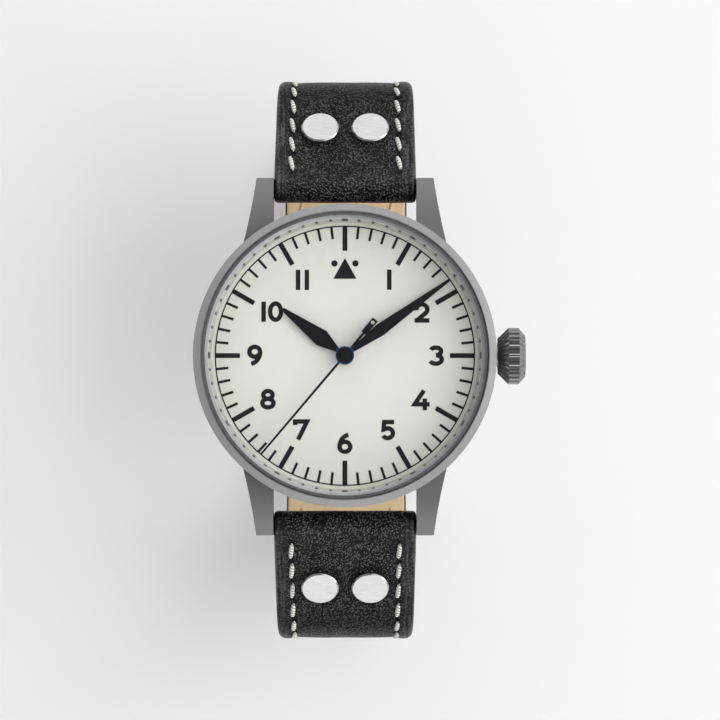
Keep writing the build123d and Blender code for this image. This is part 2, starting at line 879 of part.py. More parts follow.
def main_plate():
    """Main plate with pillars for the bridges, a recess for the motion works and a stem way."""
    body = disc(plate_radius, plate_low, plate_top)
    hour_recess = hour_module * hour_wheel_teeth / 2 + motion_recess_gap
    body -= disc(hour_recess, plate_recess_floor, dial_ledge)
    minute_recess = cannon_module * minute_wheel_teeth / 2 + motion_recess_gap
    body -= at(minute_wheel_at, disc(minute_recess, plate_recess_floor, dial_ledge))
    body += at(minute_wheel_at, disc(minute_post_radius, plate_low, plate_top))
    body += disc(centre_tube_radius, plate_low, centre_tube_top)
    for point in screw_places():
        body += at(point, disc(pillar_radius, bridge_top, plate_low))
        body -= at(point, disc(screw_shank_radius, bridge_top - cut_over, plate_low + cut_over))
    body -= at(cock_foot_at, disc(screw_shank_radius, bridge_top, plate_low + cut_over))
    pocket = winding_pinion_radius + 2 * running_gap
    body -= block(
        (sliding_pinion_x - crown_pull, winding_pinion_x + winding_pinion_length + bridge_gap),
        (-pocket, pocket),
        (0, dial_ledge))
    rim_x = winding_pinion_x + winding_pinion_length + bridge_gap
    block_span = (bridge_top + running_gap, plate_low)
    stem_block = block((rim_x, plate_radius), (-pocket, pocket), block_span)
    body += stem_block & disc(plate_radius, 0, dial_ledge)
    body += block(
        (pilot_block_start, pilot_block_end),
        (-stem_radius - bridge_gap, stem_radius + bridge_gap),
        (bridge_top + bridge_gap / 2, plate_low))
    stem_way = (stem_pilot_end_x - running_gap, plate_radius + cut_over)
    body -= along_stem(disc(stem_radius + running_gap, *stem_way))
    body -= along_stem(disc(stem_pilot_radius + running_gap, 0, stem_pilot_end_x))
    for point in (intermediate_at, third_at, escape_at, pallet_at, balance_at):
        body -= at(point, disc(pivot_radius + running_gap, 0, plate_recess_floor))
    body -= at(barrel_at, disc(barrel_arbor_radius + running_gap, 0, plate_recess_floor))
    body -= disc(centre_tube_bore, 0, centre_tube_top + cut_over)
    for angle in dial_foot_angles:
        foot_hole = disc(dial_foot_radius + seat_gap, plate_low, dial_ledge)
        body -= at(polar(dial_foot_distance, angle), foot_hole)
    return body


def bridge_screws():
    """Slotted screws that hold the bridges and the cock."""
    screws = []
    places = [(place, bridge_low) for place in screw_places()]
    half_slot = screw_slot / 2
    for point, low in places + [(cock_foot_at, cock_low)]:
        high = low + screw_head_height
        head = disc(screw_radius, low, high)
        slot = block((-screw_radius, screw_radius), (-half_slot, half_slot), (0, low + half_slot))
        shank = disc(screw_shank_radius - seat_gap, high, plate_low + cut_over / 2)
        screws.append(at(point, head - slot + shank))
    return Compound(children=screws)


def jewels():
    """Jewel bearings in the train bridge and the cock."""
    stones = []
    places = [(point, bridge_low) for point in (intermediate_at, third_at, (0, 0), escape_at)]
    for point, low in places + [(balance_at, cock_low)]:
        high = low + jewel_thickness
        stones.append(at(point, ring(jewel_radius, pivot_radius + running_gap, low, high)))
    return Compound(children=stones)


def mainspring_barrel():
    """Closed toothed drum of the mainspring."""
    tooth_low = barrel_top - barrel_tooth_height
    drum = disc(barrel_drum_radius, barrel_low, barrel_top)
    drum += gear(barrel_teeth, barrel_module, tooth_low, barrel_top, barrel_phase)
    return at(barrel_at, drum - disc(barrel_arbor_radius + running_gap, 0, dial_ledge))


def barrel_arbor():
    """Arbor through the barrel that carries the ratchet wheel."""
    arbor = disc(barrel_arbor_radius, winding_wheel_low, plate_recess_floor - running_gap)
    return at(barrel_at, arbor)


def ratchet_wheel():
    """Wheel on the barrel arbor that winds the mainspring."""
    high = winding_wheel_low + winding_wheel_height
    wheel = gear(ratchet_teeth, winding_module, winding_wheel_low, high, ratchet_phase)
    return at(barrel_at, wheel - disc(barrel_arbor_radius, 0, dial_ledge))


def crown_wheel():
    """Wheel between the winding pinion and the ratchet wheel."""
    high = winding_wheel_low + winding_wheel_height
    wheel = gear(crown_wheel_teeth, winding_module, winding_wheel_low, high, crown_wheel_phase)
    return at(crown_wheel_at, wheel - disc(arbor_radius + running_gap, 0, dial_ledge))


def click_at():
    """Pivot of the click, outside the ratchet wheel on the far side from the crown."""
    tip = ratchet_teeth * winding_module / 2 + addendum_share * winding_module
    return step_from(barrel_at, tip + click_boss_radius + click_gap, click_angle())


def click_angle():
    """Direction of the click's pivot from the barrel."""
    return barrel_angle + click_lead_angle


def click():
    """Pawl beside the ratchet wheel, turning on its own pivot."""
    high = winding_wheel_low + winding_wheel_height
    pawl = disc(click_boss_radius, winding_wheel_low, high)
    pawl += disc(arbor_radius, high, bridge_top)
    beak = plate([
        (0, -click_width / 2),
        (click_length * click_beak_share, -click_width / 2),
        (click_length, 0),
        (0, click_width / 2),
    ], winding_wheel_low, high)
    return at(click_at(), Rot(0, 0, click_angle() + click_heading) * beak + pawl)


def intermediate_wheel():
    """Wheel driven by the barrel; it turns once an hour."""
    pinion_top = plate_low - running_gap
    wheel = train_wheel(
        intermediate_teeth, train_module, intermediate_wheel_low,
        intermediate_pinion_teeth, barrel_module, (intermediate_pinion_low, pinion_top),
        intermediate_phase, intermediate_pinion_phase)
    return at(intermediate_at, wheel)


def third_wheel():
    """Wheel between the intermediate wheel and the seconds pinion."""
    wheel = train_wheel(
        third_teeth, train_module, third_wheel_low,
        train_pinion_teeth, train_module, (bridge_top + running_gap, third_pinion_top),
        third_phase, third_pinion_phase)
    return at(third_at, wheel)


def seconds_wheel():
    """Centre seconds wheel on its long arbor, which carries the seconds hand."""
    high = seconds_wheel_low + wheel_thickness
    wheel = gear(seconds_teeth, seconds_module, seconds_wheel_low, high, seconds_phase)
    rim = seconds_teeth * seconds_module / 2 * rim_share
    wheel -= arms(rim, hub_radius, seconds_wheel_low, high, arm_count)
    wheel += gear(train_pinion_teeth, train_module,
                  seconds_pinion_low, seconds_wheel_low, seconds_pinion_phase)
    wheel += disc(arbor_radius, bridge_top + running_gap, plate_low - running_gap)
    return wheel + disc(pivot_radius, bridge_low, second_hand_low)


def escape_wheel():
    """Club-toothed escape wheel with its pinion."""
    pitch = 360 / escape_teeth
    corners = (
        (escape_root_radius, 0),
        (escape_tip_radius, escape_rake_share),
        (escape_tip_radius, escape_rake_share + escape_tip_width_share),
        (escape_root_radius, escape_rake_share),
    )
    teeth = range(escape_teeth)
    points = [polar(r, (k + share) * pitch) for k in teeth for r, share in corners]
    high = escape_wheel_low + wheel_thickness
    wheel = plate(points, escape_wheel_low, high)
    opening = arms(escape_root_radius * rim_share, escape_hub_radius,
                   escape_wheel_low, high, arm_count)
    wheel -= opening
    wheel += gear(escape_pinion_teeth, seconds_module,
                  seconds_wheel_low, seconds_wheel_low + wheel_thickness, escape_pinion_phase)
    wheel += disc(pivot_radius, bridge_low, plate_recess_floor - running_gap)
    return at(escape_at, wheel)


def pallet_fork():
    """Pallet fork with two stones either side of the escape wheel and a forked end at the balance."""
    high = fork_low + fork_height
    lever_end = balance_distance - fork_tip_gap
    lever = block((0, lever_end), (-fork_width / 2, fork_width / 2), (fork_low, high))
    horn = block((lever_end - 2 * fork_width, lever_end), (-fork_width, fork_width), (fork_low, high))
    notch = block(
        (lever_end - fork_width, lever_end + cut_over),
        (-fork_notch_width / 2, fork_notch_width / 2),
        (fork_low - cut_over, high + cut_over))
    fork = Rot(0, 0, regulator_angle) * (lever + horn - notch)
    fork += disc(arbor_radius, fork_low, high)
    pivot_low = balance_low + balance_height + running_gap
    fork += disc(pivot_radius, pivot_low, plate_recess_floor - running_gap)
    back = regulator_angle + 180
    clear = escape_tip_radius + stone_gap
    spread = math.degrees(math.acos(clear / pallet_distance)) * stone_spread_share
    for side in (-1, 1):
        wheel_at = step_from((0, 0), pallet_distance, back)
        stone_at = step_from(wheel_at, clear + stone_width, regulator_angle + side * spread)
        reach = math.dist((0, 0), stone_at)
        heading = angle_between((0, 0), stone_at)
        stone = block((0, reach), (-stone_width / 2, stone_width / 2), (fork_low, high))
        fork += Rot(0, 0, heading) * stone
    return at(pallet_at, fork)


def balance_wheel():
    """Two-armed balance with its staff, roller and impulse pin."""
    high = balance_low + balance_height
    wheel = ring(balance_radius, balance_radius - balance_rim, balance_low, high)
    wheel += block((-balance_radius + balance_rim / 2, balance_radius - balance_rim / 2),
                   (-arm_width / 2, arm_width / 2), (balance_low, high))
    wheel += disc(balance_hub_radius, balance_low, high)
    wheel += disc(pivot_radius, cock_low, plate_recess_floor - running_gap)
    wheel += disc(roller_radius, roller_low, roller_low + roller_height)
    pin = disc(impulse_pin_radius, fork_low, roller_low)
    wheel += Rot(0, 0, regulator_angle + 180) * (Pos(impulse_pin_at, 0) * pin)
    return at(balance_at, wheel)


def hairspring():
    """Flat spiral spring between the balance staff and the cock, one unbroken strip."""
    turn_pitch = (hairspring_outer - hairspring_inner) / hairspring_turns
    print("hairspring least gap between turns", round(turn_pitch - hairspring_strip, 3))
    strips = []
    for turn in range(hairspring_turns):
        radius = hairspring_inner + turn * turn_pitch
        strips.append(half_ring(0, radius, 1))
        strips.append(half_ring(turn_pitch / 2, radius + turn_pitch / 2, -1))
    return at(balance_at, strips[0] + strips[1:])


def half_ring(centre, radius, side):
    """Half of a thin ring about a centre on the X axis, on its +Y side (1) or -Y side (-1)."""
    strip = ring(radius + hairspring_strip / 2, radius - hairspring_strip / 2,
                 hairspring_low, hairspring_low + hairspring_height)
    reach = 2 * hairspring_outer
    span = (0, reach) if side > 0 else (-reach, 0)
    return Pos(centre, 0, 0) * (strip & block((-reach, reach), span, (0, dial_ledge)))


def cannon_pinion():
    """Pinion that carries the minute hand and turns on the centre tube."""
    bore = centre_tube_radius + running_gap
    pipe = bore + cannon_wall
    pinion = gear(cannon_teeth, cannon_module, cannon_low, cannon_tooth_top, cannon_phase)
    pinion += disc(pipe, cannon_low, minute_hand_low)
    pinion -= disc(bore, 0, dial_ledge + cut_over)
    return pinion - disc(pivot_radius + running_gap, 0, crystal_low)


def minute_wheel():
    """Wheel and pinion between the cannon pinion and the hour wheel."""
    wheel = gear(minute_wheel_teeth, cannon_module,
                 minute_wheel_low, minute_wheel_low + wheel_thickness, minute_wheel_phase)
    wheel += gear(minute_pinion_teeth, hour_module,
                  minute_wheel_low, minute_pinion_top, minute_wheel_phase)
    return at(minute_wheel_at, wheel - disc(minute_post_radius + running_gap, 0, dial_ledge))


def hour_wheel():
    """Wheel whose pipe carries the hour hand."""
    bore = centre_tube_radius + cannon_wall + 2 * running_gap
    high = hour_wheel_low + wheel_thickness
    wheel = gear(hour_wheel_teeth, hour_module, hour_wheel_low, high, hour_wheel_phase)
    wheel += disc(bore + hour_pipe_wall, hour_wheel_low, hour_hand_low)
    return wheel - disc(bore, 0, crystal_low)


def tapered_hand(length, belly_width, belly_at, tip_width, low, bore):
    """Leaf-shaped hand pointing along +Y: narrow neck, wide belly, blunt tip."""
    points = [
        (-hand_neck_width / 2, 0),
        (hand_neck_width / 2, 0),
        (hand_neck_width / 2, hand_boss_radius),
        (belly_width / 2, belly_at),
        (tip_width / 2, length),
        (-tip_width / 2, length),
        (-belly_width / 2, belly_at),
        (-hand_neck_width / 2, hand_boss_radius),
    ]
    hand = plate(points, low, low + hand_thickness)
    hand += disc(hand_boss_radius, low, low + hand_thickness)
    return hand - disc(bore, 0, crystal_low)


def hour_hand():
    """Hour hand at the pictured time."""
    bore = centre_tube_radius + cannon_wall + 2 * running_gap
    hand = tapered_hand(hour_hand_length, hour_hand_belly_width, hour_hand_belly_at,
                        hour_hand_tip_width, hour_hand_low, bore)
    return Rot(0, 0, -hour_hand_angle) * hand


def minute_hand():
    """Minute hand at the pictured time."""
    hand = tapered_hand(minute_hand_length, minute_hand_belly_width, minute_hand_belly_at,
                        minute_hand_tip_width, minute_hand_low, pivot_radius + running_gap)
    return Rot(0, 0, -minute_hand_angle) * hand


def second_hand():
    """Needle seconds hand with a pierced rectangular counterweight."""
    low = second_hand_low
    high = low + hand_thickness
    needle = plate([
        (-second_hand_width / 2, -tail_start),
        (second_hand_width / 2, -tail_start),
        (second_hand_tip_width / 2, second_hand_length),
        (-second_hand_tip_width / 2, second_hand_length),
    ], low, high)
    tail = block((-tail_width / 2, tail_width / 2), (-tail_end, -tail_start), (low, high))
    tail -= Pos(0, -tail_hole_at, 0) * disc(tail_hole_radius, 0, crystal_low)
    boss = disc(second_boss_radius, low, high + hand_thickness)
    return Rot(0, 0, -second_hand_angle) * (needle + tail + boss)


def movement_ring():
    """Ring that centres the movement in the case, open for the stem."""
    holder = ring(case_bore_radius - holder_gap, plate_radius + holder_gap, holder_low, dial_ledge)
    return holder - along_stem(disc(stem_radius + 2 * running_gap, 0, case_radius))


def casing_clamps():
    """Small clamps that hold the bridges' edge down on the casing ring, each with its screw head."""
    clamps = []
    for angle in clamp_angles:
        bar = block(
            (clamp_centre - clamp_length / 2, clamp_centre + clamp_length / 2),
            (-clamp_width / 2, clamp_width / 2),
            (holder_low - clamp_thickness, holder_low))
        head = disc(screw_radius, holder_low - clamp_thickness - clamp_screw_height,
                    holder_low - clamp_thickness)
        clamps.append(Rot(0, 0, angle) * (bar + Pos(clamp_screw_at, 0, 0) * head))
    return Compound(children=clamps)


def rotor_bearing():
    """Bearing post at the centre of the train bridge that the rotor turns on."""
    post = disc(bearing_bore - running_gap, bearing_low, bridge_low)
    return post + disc(bearing_radius, rotor_plate_low + rotor_plate_thickness + running_gap, bridge_low)


def rotor():
    """Half-disc winding weight with a heavy rim, a hub and two windows."""
    top = rotor_plate_low + rotor_plate_thickness
    weight = disc(rotor_radius, rotor_plate_low, top)
    weight += ring(rotor_radius, rotor_radius - rotor_rim_width, rotor_rim_low, rotor_rim_top)
    windows = ring(rotor_window_radius, rotor_window_inner, 0, dial_ledge)
    half_arm = rotor_arm_width / 2
    for angle in rotor_arm_angles:
        spoke = block((0, rotor_radius), (-half_arm, half_arm), (-cut_over, dial_ledge + cut_over))
        windows -= Rot(0, 0, -angle) * spoke
    weight -= windows
    weight &= block((-rotor_radius, rotor_radius), (-rotor_radius, 0), (0, dial_ledge))
    weight += disc(rotor_hub_radius, rotor_plate_low, top)
    return weight - disc(bearing_bore, 0, dial_ledge)


# Strap geometry in the plane of its run: y outwards from the case, z up
drop = math.radians(strap_drop_angle)
strap_thickness = 2 * strap_end_radius
line_normal = (math.sin(drop), math.cos(drop))
line_heading = (math.cos(drop), -math.sin(drop))
bend_y = strap_reach_y - strap_bend_radius
bend_rise = strap_end_radius - strap_bend_radius - (bend_y - bar_y) * line_normal[0]
bend_z = bar_z + bend_rise / line_normal[1]
long_bottom = bend_z - long_bend_radius
short_bottom = bend_z - short_bend_radius
short_mid_z = short_bottom + strap_far_thickness / 2


def strap_edge(depth, far_bend_radius, end_y):
    """Curve at a depth under the strap's outer face, from the lug end to the flat end.

    It runs straight, then round an arc, then round a quarter of an ellipse that thins the strap,
    and then level to the end. Gives its first point, its last point and its pieces.
    """
    far_depth = depth * strap_far_thickness / strap_thickness
    radius = strap_bend_radius - depth
    offset = strap_end_radius - depth
    start = (bar_y + offset * line_normal[0], bar_z + offset * line_normal[1])
    bend_start = (bend_y + radius * line_normal[0], bend_z + radius * line_normal[1])
    far_y = strap_reach_y - far_bend_radius
    level = bend_z - far_bend_radius + far_depth
    pieces = [
        Line(start, bend_start),
        CenterArc((bend_y, bend_z), radius, 0, 90 - strap_drop_angle),
        EllipticalCenterArc(
            (far_y, bend_z), far_bend_radius - depth, far_bend_radius - far_depth, 270),
        Line((far_y, level), (end_y, level)),
    ]
    return start, (end_y, level), pieces


def strap_band(depth_out, depth_in, far_bend_radius, end_y):
    """Layer of the strap between two depths, as wide as the strap and tapering with height."""
    start_out, end_out, outer = strap_edge(depth_out, far_bend_radius, end_y)
    start_in, end_in, inner = strap_edge(depth_in, far_bend_radius, end_y)
    pieces = outer + inner + [Line(start_out, start_in), Line(end_out, end_in)]
    return extrude(Plane.YZ * make_face(pieces), amount=strap_width / 2, both=True)


def strap_taper(far_bend_radius, extra=0):
    """Trimming solid: full width down to the bend, then narrowing evenly to the flat run."""
    low = bend_z - far_bend_radius
    wide = strap_width / 2 + extra
    far = strap_far_width / 2 + extra
    top = bar_z + 2 * strap_end_radius
    under = low - strap_end_radius
    outline = Polygon((-wide, top), (wide, top), (wide, bend_z), (far, low), (far, under),
                      (-far, under), (-far, low), (-wide, bend_z), align=None)
    return extrude(Plane.XZ * outline, amount=2 * strap_reach_y, both=True)


def across(y, z, radius, half_length):
    """Cylinder along X at a place of the strap's plane."""
    return Pos(0, y, z) * Rot(0, 90, 0) * Cylinder(radius, 2 * half_length)


def rivet_frame(x):
    """Place on the strap's outer face for a rivet, with its local +Z pointing out of the leather."""
    along = (rivet_y - bar_y - strap_end_radius * line_normal[0]) / line_heading[0]
    y = bar_y + strap_end_radius * line_normal[0] + along * line_heading[0]
    z = bar_z + strap_end_radius * line_normal[1] + along * line_heading[1]
    return Pos(x, y, z) * Rot(-strap_drop_angle, 0, 0)


def rivet_holes():
    """Holes through leather and lining for the rivets."""
    hole = disc(rivet_shank_radius + seat_gap, -strap_thickness - cut_over, cut_over)
    return [rivet_frame(x) * hole for x in (-rivet_x, rivet_x)]


def rivets():
    """Two rivets: bevelled flat head, shank through the strap and a washer on the lining."""
    pair = []
    for x in (-rivet_x, rivet_x):
        head = turned([
            (0, 0),
            (rivet_radius, 0),
            (rivet_radius, rivet_height - rivet_bevel),
            (rivet_radius - rivet_bevel, rivet_height),
            (0, rivet_height),
        ])
        shank = disc(rivet_shank_radius, -strap_thickness, 0)
        washer = disc(rivet_washer_radius, -strap_thickness - rivet_washer_height, -strap_thickness)
        pair.append(rivet_frame(x) * (head + shank + washer))
    return Compound(children=pair)


def leather(far_bend_radius, end_y):
    """Outer leather with its rolled lug end and rounded edges, before its own cut-outs."""
    body = strap_band(0, strap_thickness - lining_thickness, far_bend_radius, end_y)
    body += across(bar_y, bar_z, strap_end_radius, strap_width / 2)
    body &= strap_taper(far_bend_radius)
    body -= across(bar_y, bar_z, spring_bar_radius + running_gap, strap_width)
    for hole in rivet_holes():
        body -= hole
    return body


def lining(far_bend_radius, end_y):
    """Lining layer on the wrist side, from the rolled end to the flat end."""
    layer = strap_band(strap_thickness - lining_thickness, strap_thickness, far_bend_radius, end_y)
    layer &= strap_taper(far_bend_radius)
    layer -= across(bar_y, bar_z, strap_end_radius, strap_width)
    for hole in rivet_holes():
        layer -= hole
    return layer


def tip_trim():
    """Plan outline that rounds the long half's free end to a blunt point."""
    half = strap_width / 2 + cut_over
    side = strap_far_width / 2
    shoulder = -long_tip_y + strap_tip_length
    reach = strap_reach_y + cut_over
    right = (side, shoulder)
    left = (-side, shoulder)
    tip = (0, -long_tip_y)
    middle = (side * tip_side_share, shoulder - strap_tip_length * tip_reach_share)
    outline = make_face([
        Line((-half, reach), (half, reach)),
        Line((half, reach), (half, shoulder)),
        Line((half, shoulder), right),
        ThreePointArc(right, middle, tip),
        ThreePointArc(tip, (-middle[0], middle[1]), left),
        Line(left, (-half, shoulder)),
        Line((-half, shoulder), (-half, reach)),
    ])
    outline = Pos(0, 0, long_bottom - cut_over) * outline
    return extrude(outline, amount=strap_reach_y + long_bend_radius)


def long_holes():
    """Row of adjusting holes through the flat run of the long half."""
    holes = []
    for k in range(hole_count):
        y = -long_tip_y + first_hole_from_tip + k * hole_pitch
        hole = disc(hole_radius, long_bottom - cut_over, long_bottom + strap_thickness)
        holes.append(Pos(0, y, 0) * hole)
    return holes


def strap_lower():
    """Long half of the strap, on the six o'clock side."""
    body = (leather(long_bend_radius, -long_tip_y) & tip_trim()) - long_holes()
    return mirror(body, Plane.XZ)


def strap_lower_lining():
    """Lining of the long half."""
    layer = (lining(long_bend_radius, -long_tip_y) & tip_trim()) - long_holes()
    return mirror(layer, Plane.XZ)


def buckle_end_cut():
    """Slot for the tang at the buckle end and the bore for the buckle bar."""
    slot = block(
        (-tang_slot_width / 2, tang_slot_width / 2),
        (short_end_y - 2 * buckle_roll_radius, short_end_y + tang_slot_length),
        (short_bottom - strap_end_radius, short_bottom + strap_thickness + strap_end_radius))
    return slot + across(short_end_y, short_mid_z, buckle_bar_radius + running_gap, strap_width)


def strap_upper():
    """Short half of the strap, on the twelve o'clock side, rolled round the buckle bar."""
    body = leather(short_bend_radius, short_end_y)
    body += across(short_end_y, short_mid_z, buckle_roll_radius, strap_far_width / 2)
    return body - buckle_end_cut()


def strap_upper_lining():
    """Lining of the short half."""
    layer = lining(short_bend_radius, short_end_y)
    layer -= across(short_end_y, short_mid_z, buckle_roll_radius, strap_width)
    return layer - buckle_end_cut()


def spring_bar():
    """Hollow spring bar of the twelve o'clock side, bored at both ends for its sprung tips."""
    bar = across(bar_y, bar_z, spring_bar_radius, spring_bar_half)
    bore_start = spring_bar_half - spring_bar_bore_length
    bore = disc(spring_bar_bore, bore_start, spring_bar_half - spring_bar_lip)
    bore += disc(spring_pin_radius + running_gap, bore_start, spring_bar_half + cut_over)
    for x_sign in (-1, 1):
        bar -= Pos(0, bar_y, bar_z) * Rot(0, 90 * x_sign, 0) * bore
    return bar


def spring_pin(x_sign):
    """Sprung tip of a spring bar: a flange inside the bar and a pin that enters the lug."""
    flange_start = spring_bar_half - spring_pin_flange_inset
    flange_end = flange_start + spring_pin_flange_length
    pin = disc(spring_pin_flange, flange_start, flange_end)
    pin += disc(spring_pin_radius, flange_end, lug_gap / 2 + spring_pin_reach)
    return Pos(0, bar_y, bar_z) * Rot(0, 90 * x_sign, 0) * pin


def buckle_frame():
    """Rounded rectangular buckle frame, open towards the strap, with bevelled edges."""
    inner = buckle_inner_width / 2
    half = inner + buckle_side
    near = short_end_y + buckle_bar_radius + buckle_side / 2
    far = short_end_y - buckle_length
    low = short_mid_z - buckle_height / 2
    outline = RectangleRounded(2 * half, near - far, buckle_corner)
    body = Pos(0, (near + far) / 2, low) * extrude(outline, amount=buckle_height)
    faces = body.faces().sort_by(Axis.Z)
    body = chamfer(faces[0].edges() + faces[-1].edges(), buckle_bevel)
    inside = (far + buckle_side, near + cut_over)
    body -= block((-inner, inner), inside, (low - cut_over, low + buckle_height + cut_over))
    bar_reach = half - buckle_side / 2
    return body - across(short_end_y, short_mid_z, buckle_bar_radius + seat_gap, bar_reach)


def buckle_bar():
    """Bar that joins the buckle's arms through the strap's rolled end."""
    reach = buckle_inner_width / 2 + buckle_side / 2 - seat_gap
    return across(short_end_y, short_mid_z, buckle_bar_radius, reach)


def buckle_tang():
    """Tang that turns on the buckle bar and rests on the outer face of the frame's far side."""
    ring_outer = buckle_bar_radius + running_gap + tang_ring_wall
    high = short_mid_z - buckle_height / 2 - running_gap
    low = high - tang_thickness
    half = tang_width / 2
    far = short_end_y - buckle_length + buckle_side - tang_overlap
    body = across(short_end_y, short_mid_z, ring_outer, half)
    body += block((-half, half), (far + half, short_end_y), (low, high))
    body += at((0, far + half), disc(half, low, high))
    return body - across(short_end_y, short_mid_z, buckle_bar_radius + running_gap, tang_width)


def keeper(from_end, face_gap):
    """Leather loop round the flat run of the short half, deep enough for the long end to pass."""
    y = short_end_y + from_end
    inner_half = strap_far_width / 2 + keeper_side_gap
    outer_half = inner_half + keeper_wall
    high = short_bottom + strap_far_thickness + face_gap
    low = short_bottom - keeper_room
    span = (y - keeper_width / 2, y + keeper_width / 2)
    over = (span[0] - cut_over, span[1] + cut_over)
    loop = block((-outer_half, outer_half), span, (low - keeper_wall, high + keeper_wall))
    loop = fillet(loop.edges().filter_by(Axis.Y), keeper_corner)
    return loop - block((-inner_half, inner_half), over, (low, high))


def keeper_fixed():
    """Keeper nearest the buckle, sewn to the strap."""
    return keeper(fixed_keeper_from_end, seat_gap)


def keeper_sliding():
    """Keeper that slides along the strap."""
    return keeper(sliding_keeper_from_end, keeper_face_gap)


def sub_parts():
    """Every sub-part by its name."""
    upper_bar = spring_bar()
    pins = {"right": spring_pin(1), "left": spring_pin(-1)}
    upper_rivets = rivets()
    parts = {
        "case_body": case_body(),
        "bezel": bezel(),
        "crystal": crystal(),
        "crystal_gasket": crystal_gasket(),
        "rehaut_ring": rehaut_ring(),
        "dial": dial(),
        "dial_track": dial_track(),
        "case_back": case_back(),
        "case_back_gasket": case_back_gasket(),
        "crown_tube": crown_tube(),
        "crown": crown(),
        "crown_gasket": crown_gasket(),
        "winding_stem": winding_stem(),
        "winding_pinion": winding_pinion(),
        "sliding_pinion": sliding_pinion(),
        "movement_ring": movement_ring(),
        "casing_clamps": casing_clamps(),
        "main_plate": main_plate(),
        "train_bridge": train_bridge(),
        "barrel_bridge": barrel_bridge(),
        "balance_cock": balance_cock(),
        "bridge_screws": bridge_screws(),
        "jewels": jewels(),
        "mainspring_barrel": mainspring_barrel(),
        "barrel_arbor": barrel_arbor(),
        "ratchet_wheel": ratchet_wheel(),
        "crown_wheel": crown_wheel(),
        "click": click(),
        "intermediate_wheel": intermediate_wheel(),
        "third_wheel": third_wheel(),
        "seconds_wheel": seconds_wheel(),
        "escape_wheel": escape_wheel(),
        "pallet_fork": pallet_fork(),
        "balance_wheel": balance_wheel(),
        "hairspring": hairspring(),
        "cannon_pinion": cannon_pinion(),
        "minute_wheel": minute_wheel(),
        "hour_wheel": hour_wheel(),
        "hour_hand": hour_hand(),
        "minute_hand": minute_hand(),
        "second_hand": second_hand(),
        "rotor_bearing": rotor_bearing(),
        "rotor": rotor(),
        "strap_upper": strap_upper(),
        "strap_upper_lining": strap_upper_lining(),
        "rivets_upper": upper_rivets,
        "spring_bar_upper": upper_bar,
        "strap_lower": strap_lower(),
        "strap_lower_lining": strap_lower_lining(),
        "rivets_lower": mirror(upper_rivets, Plane.XZ),
        "spring_bar_lower": mirror(upper_bar, Plane.XZ),
        "buckle_frame": buckle_frame(),
        "buckle_bar": buckle_bar(),
        "buckle_tang": buckle_tang(),
        "keeper_fixed": keeper_fixed(),
        "keeper_sliding": keeper_sliding(),
    }
    for side, pin in pins.items():
        parts["spring_pin_upper_" + side] = pin
        parts["spring_pin_lower_" + side] = mirror(pin, Plane.XZ)
    return parts


os.makedirs("parts", exist_ok=True)
for name, shape in sub_parts().items():
    export_step(shape, "parts/" + name + ".step")
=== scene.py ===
"""Pilot watch: finishes, leather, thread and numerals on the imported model.

Metres, in the model's own frame: the dial looks up (+Z), twelve o'clock is +Y, the crown is at +X.
"""

import math

import bpy
import numpy as np
from mathutils import Matrix, Vector


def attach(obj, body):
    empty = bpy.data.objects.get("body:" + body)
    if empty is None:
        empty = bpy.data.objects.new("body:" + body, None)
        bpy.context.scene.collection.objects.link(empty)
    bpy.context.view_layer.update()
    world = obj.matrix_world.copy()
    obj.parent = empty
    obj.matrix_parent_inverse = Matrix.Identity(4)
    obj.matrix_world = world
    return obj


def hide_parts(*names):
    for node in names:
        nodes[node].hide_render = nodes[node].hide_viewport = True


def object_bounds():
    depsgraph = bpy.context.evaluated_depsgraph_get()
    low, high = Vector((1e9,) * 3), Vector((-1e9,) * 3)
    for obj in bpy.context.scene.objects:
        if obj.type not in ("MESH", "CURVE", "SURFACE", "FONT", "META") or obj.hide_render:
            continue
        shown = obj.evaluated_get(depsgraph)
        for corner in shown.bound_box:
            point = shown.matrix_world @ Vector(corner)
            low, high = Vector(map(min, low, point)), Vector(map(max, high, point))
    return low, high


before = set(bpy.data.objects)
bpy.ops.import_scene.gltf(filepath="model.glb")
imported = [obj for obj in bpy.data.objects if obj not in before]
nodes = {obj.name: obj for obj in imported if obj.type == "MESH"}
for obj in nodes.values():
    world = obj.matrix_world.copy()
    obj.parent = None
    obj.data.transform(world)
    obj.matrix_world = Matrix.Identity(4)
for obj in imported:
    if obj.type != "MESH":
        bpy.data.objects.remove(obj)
cad_box = [list(corner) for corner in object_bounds()]
MM = 0.001

# Finishes: where they change on a piece, in millimetres
# Bezel step: painted shade. Hub rim: painted glint. Ring lip: painted highlight.
BEZEL_SHADED_STEP, HUB_RIM_GLINT, RING_LIP_HIGHLIGHT = (19.6, 20.02), (1.14, 1.4), (18.88, 19.6)
# Inner ring: heights between which the minute marks' reflections are painted.
REFLECTED_MARKS_LOW, REFLECTED_MARKS_HIGH, REFLECTED_MARKS_FADE = 8.15, 9.55, 0.05
# Dial: painted shade from here out to the rim.
DIAL_SHADE_FROM, DIAL_SHADE_TO = 10, 21
BORDER_FROM, BORDER_TO = 7.7, 8.4
# Strap leather: gloss lowered as painted shade from here out to the far bends.
BEND_SHADE_FROM, BEND_SHADE_TO = 34, 38


# Finishes: shared tools
def node(tree, kind, inputs=None, **settings):
    """One node of a material: its settings, then its inputs, each filled in or joined."""
    made = tree.nodes.new("ShaderNode" + kind)
    for key, value in settings.items():
        setattr(made, key, value)
    for key, value in (inputs or {}).items():
        if isinstance(value, bpy.types.NodeSocket):
            tree.links.new(value, made.inputs[key])
        else:
            made.inputs[key].default_value = value
    return made


def new_finish(name, **surface):
    """A material with its surface shader, whose plain settings are given by their names."""
    material = bpy.data.materials.new(name)
    material.use_nodes = True
    tree = material.node_tree
    shader = tree.nodes["Principled BSDF"]
    for key, value in surface.items():
        shader.inputs[key.replace("_", " ")].default_value = value
    return material, tree, shader


